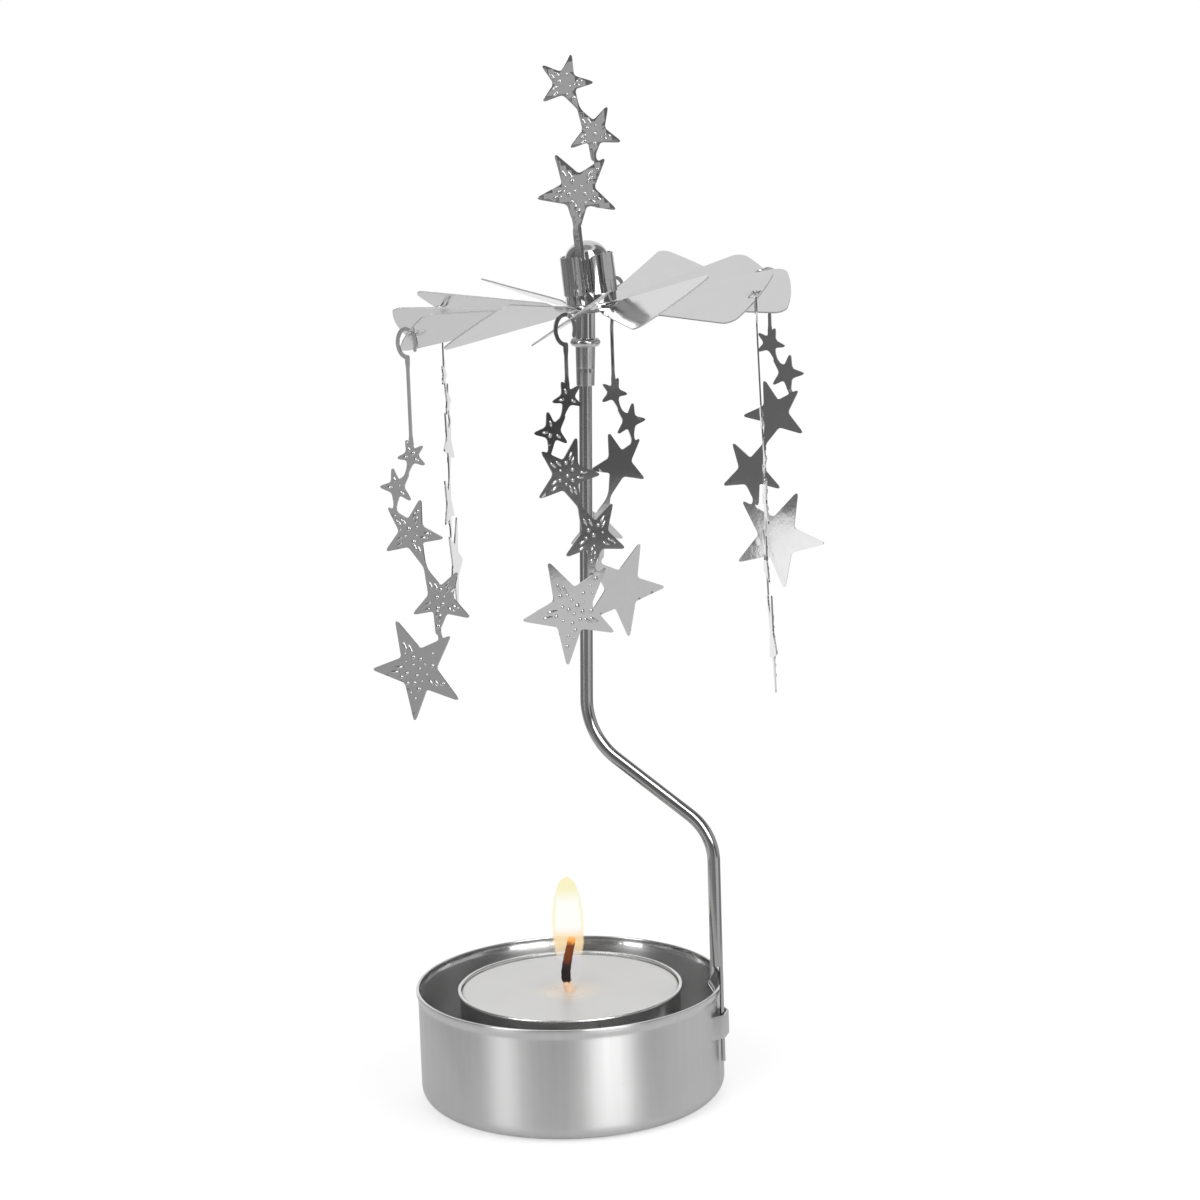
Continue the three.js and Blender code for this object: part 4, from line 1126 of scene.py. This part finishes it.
def embossedSheet(name, nodeName, outward, across, origin, sheet, stars, bends, seed, stick, drop=0,
                  settle=(0, 0, 0)):
    outline, acrossLine, upward, normal = sheetOutline(nodeName, outward, across, origin)
    outline = softened(outline, charm["cut"])
    flat = griddedSheet(name + " flat", outline, charm["grid"])
    face = addObject(name + " face", flat.data.copy())
    marks = dashPoints(stars)
    raised = bakeTree(face, raisedMarks,
                      {"Dashes": marks, "Dot Radius": charm["dotRadius"] * mm,
                       "Dot Spacing": charm["dotSpacing"] * mm, "Dot Margin": charm["dotMargin"] * mm,
                       "Dot Height": charm["dotHeight"] * mm, "Seed": seed,
                       "Finish": materials["bright charm sheet"]}, name + " marks")
    bpy.data.objects.remove(marks)
    raised.data.transform(Matrix.Translation((0, 0, sheet / 2 * mm)))
    thickness = flat.modifiers.new("sheet thickness", "SOLIDIFY")
    thickness.thickness = sheet * mm
    thickness.offset = 0
    edge = flat.modifiers.new("soft edge", "BEVEL")
    edge.width = charm["edge"] * mm
    edge.segments = 2
    edge.limit_method = "ANGLE"
    edge.angle_limit = math.radians(60)
    applyModifiers(flat)
    made = joinedObject(name, [flat.data, raised.data])
    bpy.data.objects.remove(flat)
    bpy.data.objects.remove(raised)
    for vertex in made.data.vertices:
        x, y, z = vertex.co
        middle, low, high, narrowing = stick
        slim = smoothStep(y / mm, low, low + 0.6) * (1 - smoothStep(y / mm, high - 0.6, high))
        x += (middle * mm - x) * narrowing * slim
        z += bendHeight(x / mm, y / mm, stars, bends) * mm
        stretched = min(max((charm["hang"] - y / mm) / charm["stretchLength"], 0), 1)
        turn = math.radians(settle[2]) * stretched
        x, z = x * math.cos(turn) + settle[1] * stretched * mm, z + x * math.sin(turn)
        y -= (drop + settle[0] * stretched) * mm
        vertex.co = origin + acrossLine * x + upward * y + normal * z
    finishMesh(made.data, 40)
    return evenlyShaded(made)


for number in range(1, 7):
    hinge = joints[f"charm_{number}_swing"]
    hook = Vector(hinge["pos_m"])
    across = Vector(hinge["axis"])
    outward = Vector((across.y, -across.x, 0))
    long = number % 2 == 0
    spread = charm["longChain"] if long else charm["shortChain"]
    drop = charm["longStick"] if long else charm["shortStick"]
    stars = [((at[0] * spread + charm["stickOffset"], at[1] * spread - drop + charm["hang"]), radius, tips)
             for at, radius, tips in starMotif]
    stick = (charm["stickOffset"], stars[0][0][1] + stars[0][1] * 0.9, charm["stickTop"],
             charm["stickNarrowing"])
    made = embossedSheet(f"hanging_stars_{number}", f"star_charm_{number}", outward, across, hook,
                         charm["sheet"], stars, starBends[number], charm["seed"] + number, stick,
                         charm["ringDrop"], charm["settle"][number])
    dress(made, materials["bright charm sheet"], f"charm_{number}", "charm_sheet", f"star_charm_{number}")
    print("charm", number, "made:", len(made.data.polygons), "faces")

finial = {"turn": 256, "scale": 0.79, "starHeight": 8.7, "starOffset": 0.75,
          "bends": [(0, 0), (0, 0), (0, 0)], "seed": 31, "stick": (-0.1, -9, 3.2, -0.3)}
finialFace = rotor["capRadius"] + rotor["slideGap"] + rotor["finialSheet"] / 2
finialPlace = (rotorPlace @ Matrix.Translation(Vector((*polar(finialFace, finial["turn"]), 0)) * mm)
               @ Matrix.Rotation(math.radians(finial["turn"] + 90), 4, "Z"))
threeStars = starMotif[2:]
lowest = threeStars[-1][0]
stars = [((finial["starOffset"] + (at[0] - lowest[0]) * finial["scale"],
           finial["starHeight"] + (at[1] - lowest[1]) * finial["scale"]), radius * finial["scale"], tips)
         for at, radius, tips in threeStars]
made = embossedSheet("finial_stars", "star_finial", finialPlace.to_3x3() @ Vector((0, -1, 0)),
                     finialPlace.to_3x3() @ Vector((1, 0, 0)), finialPlace.translation, rotor["finialSheet"],
                     stars, finial["bends"], finial["seed"], finial["stick"])
dress(made, materials["bright charm sheet"], "finial", "charm_sheet", "star_finial")
print("finial made:", len(made.data.polygons), "faces")


# Tealight: foil cup, wax, wick and flame

tealight = {
    "radius": 19, "height": 17.3, "wall": 0.25, "taper": 0.35, "bead": 0.35, "corner": 0.8, "shiftY": 1.2,
    "stand": 0.8, "waxGap": 0.15, "waxBelowRim": 0.5, "edgeDrop": 0.3, "edgeWidth": 0.5,
    "meltRadius": 3.5, "meltDepth": 0.25, "footBevel": 0.9, "bore": 0.75, "segments": 192,
    "crimp": 0.035, "crimps": 46,
}
candlePlace = Matrix.Translation((0, tealight["shiftY"] * mm, tealight["stand"] * mm))


def foilWobble(angle, height):
    share = smoothStep(height, 2, tealight["height"] - 2)
    ripple = noise.noise(Vector((*polar(2.2, angle), height * 0.08)))
    return -abs(ripple) * 0.12 * share


def foilProfile():
    bodyTop = tealight["radius"] - tealight["bead"]
    foot = bodyTop - tealight["taper"]
    corner = tealight["corner"]
    bead = tealight["height"] - tealight["bead"]
    inner = tealight["wall"]
    rise = [(share * (bodyTop - foot), corner + (bead - tealight["bead"] - corner) * share)
            for share in (k / 10 for k in range(1, 11))]
    profile = [(0, 0), (9, 0), *arc(foot - corner, corner, corner, corner, -90, 0, 8)]
    profile += [(foot + out, z) for out, z in rise]
    profile += arc(bodyTop, bead, tealight["bead"], tealight["bead"], -70, 150, 14)
    profile += [(foot + out - inner, z) for out, z in reversed(rise)]
    profile += [(foot - inner, corner), *arc(foot - corner, corner, corner - inner, corner - inner, 0, -90, 6)]
    profile += [(9, inner), (0, inner)]
    return profile


foilCup = addObject("foil_cup", turnedMesh("foil cup", foilProfile(), tealight["segments"], candlePlace,
                                           wobble=foilWobble))
finishMesh(foilCup.data, 40)
dress(foilCup, materials["tealight foil"], "tealight", "foil", "tealight_cup")
nodes["wick_sustainer"].data.materials.clear()
nodes["wick_sustainer"].data.materials.append(materials["tealight foil"])


wick = {"radius": 0.82, "strandRadius": 0.46, "strands": 5, "turns": 4, "foot": 0.4, "top": 16.8, "footY": -1.3,
        "route": [(0.1, -1), (-0.1, 0), (-0.5, 1.2), (-0.62, 2.8), (-0.25, 5), (0.3, 7.2), (0.55, 8.6)]}


def waxProfile():
    side = tealight["radius"] - tealight["bead"] - tealight["wall"] - tealight["waxGap"]
    foot = tealight["wall"] + tealight["waxGap"]
    top = tealight["height"] - tealight["waxBelowRim"]
    low = side - tealight["taper"]
    profile = [(0, foot + 3.15), (1.4, foot + 3.15), (1.4, foot + 0.45), (6.35, foot + 0.45), (6.35, foot),
               (low - 0.9, foot), (low - 0.3, foot + 0.25), (low, foot + 0.9)]
    profile += [(low + (side - low) * k / 8, foot + 0.9 + (top - 0.3 - foot - 0.9) * k / 8) for k in range(1, 9)]
    profile += [(side - 0.1, top - 0.1), (side - 0.25, top - 0.03), (side - 0.5, top)]
    for k in range(1, 41):
        radius = (side - 0.5) * (1 - k / 40)
        profile.append((radius, top - tealight["meltDepth"] * (1 - smoothStep(radius, 2.6, 9))))
    return profile


waxMesh = turnedMesh("candle wax", waxProfile(), tealight["segments"], candlePlace)
candleWax = addObject("candle_wax", waxMesh)
finishMesh(candleWax.data, 50)


def waxFinish():
    values = {"colour": (0.60, 0.598, 0.59), "warm": (0.78, 0.66, 0.53), "roughness": 0.36, "scatter": 0.35,
              "flameLitRadius": 0.007}
    material, tree, shader = newMaterial("white candle wax")
    place = addNode(tree, "ShaderNodeTexCoord").outputs["Object"]
    middle = vectorCalc(tree, "SUBTRACT", place, (0, (tealight["shiftY"] + wick["footY"]) * mm, 0))
    flat = vectorCalc(tree, "LENGTH", vectorCalc(tree, "MULTIPLY", middle, (1, 1, 0)))
    nearWick = mapRange(tree, flat, values["flameLitRadius"], 0.0012)
    grain = useGroup(tree, sheetGrain, stretch=(1, 1, 1), size=160, roughness=0.55)
    smears = useGroup(tree, handlingMarks, size=70, share=0.4)
    pits = useGroup(tree, scatteredPits, size=330, radius=0.3, share=0.05)
    # painted light: the flame's warm glow tints the wax round the wick
    colour = mixColour(tree, calc(tree, "MULTIPLY", nearWick, 0.7), values["colour"], values["warm"])
    clouded = mixColour(tree, calc(tree, "MULTIPLY", grain.outputs["Tone"], 0.12), colour, (0.54, 0.54, 0.54))
    rough = calc(tree, "ADD", values["roughness"], calc(tree, "MULTIPLY", smears.outputs["Mask"], 0.12))
    rough = calc(tree, "SUBTRACT", rough, calc(tree, "MULTIPLY", nearWick, 0.15))
    height = calc(tree, "ADD", calc(tree, "MULTIPLY", grain.outputs["Height"], 0.05),
                  calc(tree, "MULTIPLY", pits.outputs["Mask"], -0.04))
    bump = addNode(tree, "ShaderNodeBump", {"Height": height, "Strength": 1.0, "Distance": mm})
    tree.links.new(clouded, shader.inputs["Base Color"])
    tree.links.new(rough, shader.inputs["Roughness"])
    tree.links.new(bump.outputs["Normal"], shader.inputs["Normal"])
    shader.inputs["Subsurface Weight"].default_value = values["scatter"]
    shader.inputs["Subsurface Radius"].default_value = (1, 0.8, 0.6)
    shader.inputs["Subsurface Scale"].default_value = 1.5 * mm
    return material


dress(candleWax, waxFinish(), "tealight", "wax", "tealight_wax")

# Strands that wind round each other along a route
def braidTree():
    tree, given, result = newTree("braided strands", "GeometryNodeTree",
                                  [("Route", "geometry"), ("Strands", "whole"), ("Turns", "float"),
                                   ("Winding Radius", "float"), ("Strand Radius", "float"), ("Thinning", "float"),
                                   ("Finish", "material")],
                                  [("Mesh", "geometry")])
    fine = addNode(tree, "GeometryNodeResampleCurve", {"Curve": given["Route"], "Count": 140})
    slim = calc(tree, "SUBTRACT", 1.0, calc(tree, "MULTIPLY", mapRange(tree, addNode(
        tree, "GeometryNodeSplineParameter").outputs["Factor"], 0.75, 1.0), given["Thinning"]))
    copies = addNode(tree, "GeometryNodeDuplicateElements", {"Geometry": fine.outputs[0],
                                                             "Amount": given["Strands"]}, domain="SPLINE")
    along = addNode(tree, "GeometryNodeSplineParameter").outputs["Factor"]
    share = calc(tree, "DIVIDE", copies.outputs["Duplicate Index"], given["Strands"])
    angle = calc(tree, "MULTIPLY", calc(tree, "ADD", calc(tree, "MULTIPLY", along, given["Turns"]), share),
                 2 * math.pi)
    winding = calc(tree, "MULTIPLY", given["Winding Radius"], slim)
    offset = addNode(tree, "ShaderNodeCombineXYZ", {
        "X": calc(tree, "MULTIPLY", calc(tree, "COSINE", angle), winding),
        "Y": calc(tree, "MULTIPLY", calc(tree, "SINE", angle), winding)}).outputs[0]
    wound = addNode(tree, "GeometryNodeSetPosition", {"Geometry": copies.outputs[0], "Offset": offset})
    ring = addNode(tree, "GeometryNodeCurvePrimitiveCircle", {"Resolution": 10,
                                                              "Radius": given["Strand Radius"]}, mode="RADIUS")
    narrowed = addNode(tree, "GeometryNodeSetCurveRadius", {"Curve": wound.outputs[0], "Radius": slim})
    tube = addNode(tree, "GeometryNodeCurveToMesh", {"Curve": narrowed.outputs[0],
                                                     "Profile Curve": ring.outputs[0], "Fill Caps": True})
    whole = addNode(tree, "GeometryNodeRealizeInstances", {"Geometry": tube.outputs[0]})
    finished = addNode(tree, "GeometryNodeSetMaterial", {"Geometry": whole.outputs[0],
                                                         "Material": given["Finish"]})
    tree.links.new(finished.outputs[0], result.inputs["Mesh"])
    return tree


def wickFinish():
    values = {"pale": (0.95, 0.68, 0.48), "burnt": (0.012, 0.007, 0.006), "brown": (0.16, 0.035, 0.01),
              "ember": (0.88, 0.34, 0.07), "emberStrength": 1.0}
    material, tree, shader = newMaterial("burnt cotton")
    place = addNode(tree, "ShaderNodeTexCoord").outputs["Object"]
    height = addNode(tree, "ShaderNodeSeparateXYZ", {"Vector": place}).outputs["Z"]
    top = (tealight["stand"] + wick["top"]) * mm
    grain = useGroup(tree, sheetGrain, stretch=(1, 1, 1), size=2200, roughness=0.6)
    uneven = calc(tree, "MULTIPLY", calc(tree, "SUBTRACT", grain.outputs["Tone"], 0.5), 0.5 * mm)
    height = calc(tree, "ADD", height, uneven)
    charred = mapRange(tree, height, top + 1.3 * mm, top + 1.7 * mm)
    dry = mapRange(tree, height, top + 3.8 * mm, top + 5.4 * mm)
    hot = mapRange(tree, height, top + 7.3 * mm, top + 8.5 * mm)
    colour = mixColour(tree, charred, values["pale"], values["burnt"])
    colour = mixColour(tree, dry, colour, values["brown"])
    colour = mixColour(tree, hot, colour, (0.3, 0.12, 0.03))
    glow = mixColour(tree, hot, (0, 0, 0), values["ember"])
    bump = addNode(tree, "ShaderNodeBump", {"Height": grain.outputs["Height"], "Strength": 1.0,
                                            "Distance": 0.05 * mm})
    tree.links.new(colour, shader.inputs["Base Color"])
    tree.links.new(glow, shader.inputs["Emission Color"])
    tree.links.new(mapRange(tree, grain.outputs["Tone"], 0.0, 1.0, 0.8, 0.95), shader.inputs["Roughness"])
    tree.links.new(bump.outputs["Normal"], shader.inputs["Normal"])
    shader.inputs["Emission Strength"].default_value = values["emberStrength"]
    return material


burntCotton = wickFinish()


def wickRoute():
    top = wick["top"]
    knots = [(0, 0, wick["foot"] - 2), (0, 0, wick["foot"] + 0.3), (0, wick["footY"] / 2, top - 4)]
    knots += [(x, wick["footY"] * (1 - smoothStep(rise, 0, 8)), top + rise) for x, rise in wick["route"]]
    knots.append((0.7, 0, top + 10))
    knots = [Vector(knot) for knot in knots]
    route = []
    for a, b, c, d in zip(knots, knots[1:], knots[2:], knots[3:]):
        for k in range(12):
            t = k / 12
            route.append(0.5 * (2 * b + (c - a) * t + (2 * a - 5 * b + 4 * c - d) * t ** 2
                                + (3 * b - a - 3 * c + d) * t ** 3))
    route.append(knots[-2])
    return [candlePlace @ (point * mm) for point in route]


wickBraid = bakeTree(polyCurve("wick route", wickRoute()), braidTree(),
                     {"Strands": wick["strands"], "Turns": float(wick["turns"]),
                      "Winding Radius": (wick["radius"] - wick["strandRadius"]) * mm,
                      "Strand Radius": wick["strandRadius"] * mm, "Thinning": 0.35,
                      "Finish": burntCotton}, "braided_wick")
finishMesh(wickBraid.data, 60)
dress(wickBraid, burntCotton, "tealight", "cotton", "wick")

flame = {"foot": 18.7, "tip": 36.8, "x": 0.03, "segments": 64, "rings": 56,
         "outline": [(0, 0.0), (0.02, 0.7), (0.05, 1.1), (0.13, 1.65), (0.24, 2.2), (0.36, 2.65), (0.56, 2.75),
                     (0.68, 2.6), (0.80, 2.25), (0.88, 1.85), (0.944, 1.4), (0.983, 0.85), (1.0, 0.0)]}


def flameRadius(share):
    for (low, first), (high, second) in zip(flame["outline"], flame["outline"][1:]):
        if share <= high:
            return first + (second - first) * (share - low) / (high - low)
    return 0


def flameMesh():
    profile = []
    for k in range(flame["rings"] + 1):
        share = 0.5 - 0.5 * math.cos(math.pi * k / flame["rings"])
        near = [min(max(share + step * 0.008, 0), 1) for step in (-2, -1, 0, 1, 2)]
        radius = sum(flameRadius(value) for value in near) / 5
        if k in (0, flame["rings"]):
            radius = 0
        profile.append((radius, flame["foot"] + (flame["tip"] - flame["foot"]) * share))
    return turnedMesh("flame", profile, flame["segments"],
                      Matrix.Translation((flame["x"] * mm, tealight["shiftY"] * mm, 0)))


def flameFinish():
    values = {"core": (1.0, 1.0, 0.96), "edge": (0.95, 0.90, 0.57), "peach": (0.98, 0.76, 0.46),
              "smoke": (0.62, 0.58, 0.66)}
    material, tree, shader = newMaterial("candle flame")
    place = addNode(tree, "ShaderNodeTexCoord").outputs["Object"]
    height = addNode(tree, "ShaderNodeSeparateXYZ", {"Vector": place}).outputs["Z"]
    share = mapRange(tree, height, flame["foot"] * mm, flame["tip"] * mm, kind="LINEAR")
    facing = addNode(tree, "ShaderNodeLayerWeight", {"Blend": 0.5}).outputs["Facing"]
    wave = addNode(tree, "ShaderNodeTexNoise", {"Vector": place, "Scale": 240.0, "Detail": 1.0}).outputs["Fac"]
    rim = mapRange(tree, calc(tree, "ADD", facing, calc(tree, "MULTIPLY", wave, 0.1)), 0.25, 0.75)
    top = mapRange(tree, share, 0.76, 0.93)
    tint = calc(tree, "MAXIMUM", rim, top)
    colour = mixColour(tree, tint, values["core"], values["edge"])
    warm = calc(tree, "SUBTRACT", mapRange(tree, share, 0.16, 0.30), mapRange(tree, share, 0.40, 0.52))
    colour = mixColour(tree, warm, colour, values["peach"])
    colour = mixColour(tree, mapRange(tree, share, 0.28, 0.14), colour, values["smoke"])
    nearer = mapRange(tree, share, 0.42, 0.6, 0.01, 0.93)       # the wick shows through the nearer side
    farther = mapRange(tree, share, 0.08, 0.34, 0.12, 0.9)
    inside = addNode(tree, "ShaderNodeNewGeometry").outputs["Backfacing"]
    body = addNode(tree, "ShaderNodeMix", {0: inside, 2: nearer, 3: farther}, data_type="FLOAT").outputs[0]
    fade = mapRange(tree, facing, 0.95, 0.45, 0.0, 1.0)
    alpha = calc(tree, "MULTIPLY", body, fade)
    tree.links.new(colour, shader.inputs["Emission Color"])
    tree.links.new(alpha, shader.inputs["Alpha"])
    shader.inputs["Base Color"].default_value = (0, 0, 0, 1)
    shader.inputs["Roughness"].default_value = 1
    shader.inputs["Specular IOR Level"].default_value = 0
    shader.inputs["Emission Strength"].default_value = 1
    return material


candleFlame = addObject("candle_flame", flameMesh())
finishMesh(candleFlame.data, 60)
dress(candleFlame, flameFinish(), "tealight", "wax")
candleFlame.visible_shadow = False
print("tealight, wick and flame made")


# Stage: white round table, soft lamps, studio surroundings

stage = {"floorRadius": 110, "floorColour": (0.5, 0.5, 0.5), "floorGlow": 0.56,
         "floorMirrorGlow": 0.15, "worldLight": 0.6,
         "lamps": [((-0.9, -1.1, 1.3), 1.2, 11), ((1.1, -0.7, 1.2), 1.0, 7), ((0.2, 1.2, 1.4), 1.2, 6)]}


def floorDisc():
    body = bmesh.new()
    bmesh.ops.create_circle(body, cap_ends=True, segments=128, radius=stage["floorRadius"] * mm)
    mesh = bpy.data.meshes.new("table top")
    body.to_mesh(mesh)
    body.free()
    mesh.transform(Matrix.Translation((0, 0, -0.00004)))
    material = bpy.data.materials.new("white table")
    material.use_nodes = True
    tree = material.node_tree
    tree.nodes.clear()
    plain = addNode(tree, "ShaderNodeBsdfDiffuse", {"Color": (*stage["floorColour"], 1)})
    rays = addNode(tree, "ShaderNodeLightPath")
    seen = calc(tree, "MAXIMUM", rays.outputs["Is Camera Ray"], rays.outputs["Is Transmission Ray"])
    direct = calc(tree, "MULTIPLY", seen, stage["floorGlow"])
    mirrored = calc(tree, "MULTIPLY", rays.outputs["Is Glossy Ray"], stage["floorMirrorGlow"])
    glow = addNode(tree, "ShaderNodeEmission", {"Strength": calc(tree, "ADD", direct, mirrored)})
    both = addNode(tree, "ShaderNodeAddShader")
    tree.links.new(plain.outputs[0], both.inputs[0])
    tree.links.new(glow.outputs[0], both.inputs[1])
    output = addNode(tree, "ShaderNodeOutputMaterial")
    tree.links.new(both.outputs[0], output.inputs["Surface"])
    mesh.materials.append(material)
    return addObject("table_top", mesh)


floorDisc()

# Patches of the surroundings that only reflections see: azimuth, half width, elevation, half height,
# softness of the sides and of the ends (degrees), level
surroundings = {
    "base": 0.92,
    "patches": [
        (270, 180, 88, 14, 8, 8, 0.38),              # ceiling
        (270, 142, 15, 39, 8, 8, 0.26),              # sides of the room
        (270, 100, 15, 39, 8, 8, 0.17),              # room behind the camera
        (8, 24, 0, 20, 8, 8, 0.55),
        (270, 140, -20, 8, 5, 5, 0.30),
        (325, 22, -14.8, 5, 0.3, 0.3, 0.74),
        (325.5, 5.3, -3, 5.2, 0.8, 0.8, 0.07),
        (336, 5, -3, 5.2, 0.8, 0.8, 0.13),
        (336, 5, -2.5, 3.3, 1, 1, 0.26),
        (224, 3, -12, 12, 2, 2, 0.45),
        (304, 7, -12, 9, 3, 3, 0.75),
        (232, 1.6, -5, 6, 1, 1, 0.5),
        (207.3, 3.5, -11.5, 6, 1, 1, 0.43),
        (218, 4, -11.6, 2.2, 0.1, 0.8, 1.3),
        (242.8, 3, -3.9, 1.8, 0.4, 0.4, 0.5),
        (90, 60, -40, 20, 6, 6, 0.78),               # below the horizon behind the holder
        (217, 6, 34, 26, 4, 4, 5.0),                 # tall soft boxes left and right of the camera
        (298.5, 13, 34, 26, 5, 5, 5.2),
    ],
}


def studioWorld():
    world = bpy.data.worlds.new("soft studio")
    scene.world = world
    world.use_nodes = True
    tree = world.node_tree
    tree.nodes.clear()
    direction = addNode(tree, "ShaderNodeTexCoord").outputs["Generated"]
    parts = addNode(tree, "ShaderNodeSeparateXYZ", {"Vector": direction})
    elevation = calc(tree, "ARCSINE", parts.outputs["Z"])
    flat = vectorCalc(tree, "NORMALIZE", vectorCalc(tree, "MULTIPLY", direction, (1, 1, 0)))
    level = surroundings["base"]
    for azimuth, halfWidth, height, halfHeight, sideSoft, endSoft, value in surroundings["patches"]:
        line = (*polar(1, azimuth), 0)
        turn = calc(tree, "ARCCOSINE", vectorCalc(tree, "DOT_PRODUCT", flat, line))
        beside = mapRange(tree, turn, math.radians(halfWidth + sideSoft), math.radians(halfWidth))
        away = calc(tree, "ABSOLUTE", calc(tree, "SUBTRACT", elevation, math.radians(height)))
        above = mapRange(tree, away, math.radians(halfHeight + endSoft), math.radians(halfHeight))
        share = calc(tree, "MULTIPLY", beside, above)
        wanted = calc(tree, "MULTIPLY", share, value)
        kept = calc(tree, "MULTIPLY", calc(tree, "SUBTRACT", 1.0, share), level)
        level = calc(tree, "ADD", wanted, kept)
    rays = addNode(tree, "ShaderNodeLightPath")
    seen = calc(tree, "MAXIMUM", rays.outputs["Is Camera Ray"], rays.outputs["Is Transmission Ray"])
    glossy = rays.outputs["Is Glossy Ray"]
    lit = calc(tree, "ADD", calc(tree, "MULTIPLY", glossy, level),
               calc(tree, "MULTIPLY", calc(tree, "SUBTRACT", 1.0, glossy), stage["worldLight"]))
    strength = calc(tree, "MAXIMUM", seen, calc(tree, "MULTIPLY", calc(tree, "SUBTRACT", 1.0, seen), lit))
    background = addNode(tree, "ShaderNodeBackground", {"Color": (1, 1, 1, 1), "Strength": strength})
    output = addNode(tree, "ShaderNodeOutputWorld")
    tree.links.new(background.outputs[0], output.inputs["Surface"])


studioWorld()
for place, size, power in stage["lamps"]:
    lamp = bpy.data.lights.new("soft lamp", "AREA")
    lamp.size = size
    lamp.energy = power
    made = bpy.data.objects.new("soft lamp", lamp)
    scene.collection.objects.link(made)
    made.location = place
    made.rotation_euler = (Vector((0, 0, 0.07)) - Vector(place)).to_track_quat("-Z", "Y").to_euler()
    made.visible_glossy = False
print("stage made")


# Camera, where the photograph was taken from

camera = {"place": (0, -0.480, 0.17351), "yaw": 0.01499, "pitch": 10.58, "roll": -1.925, "lens": 89.427}


def placeCamera():
    yaw = camera["yaw"]
    pitch = math.radians(camera["pitch"])
    roll = math.radians(camera["roll"])
    forward = Vector((math.sin(yaw) * math.cos(pitch), math.cos(yaw) * math.cos(pitch), -math.sin(pitch)))
    right = Vector((math.cos(yaw), -math.sin(yaw), 0))
    upward = right.cross(forward)
    turnedRight = right * math.cos(roll) + upward * math.sin(roll)
    turnedUp = upward * math.cos(roll) - right * math.sin(roll)
    data = bpy.data.cameras.new("camera")
    data.lens = camera["lens"]
    data.sensor_width = 36
    data.clip_start = 0.01
    made = bpy.data.objects.new("camera", data)
    scene.collection.objects.link(made)
    axes = Matrix((turnedRight, turnedUp, -forward)).transposed()
    made.matrix_world = Matrix.Translation(Vector(camera["place"])) @ axes.to_4x4()
    scene.camera = made


placeCamera()
scene.view_settings.view_transform = "Standard"
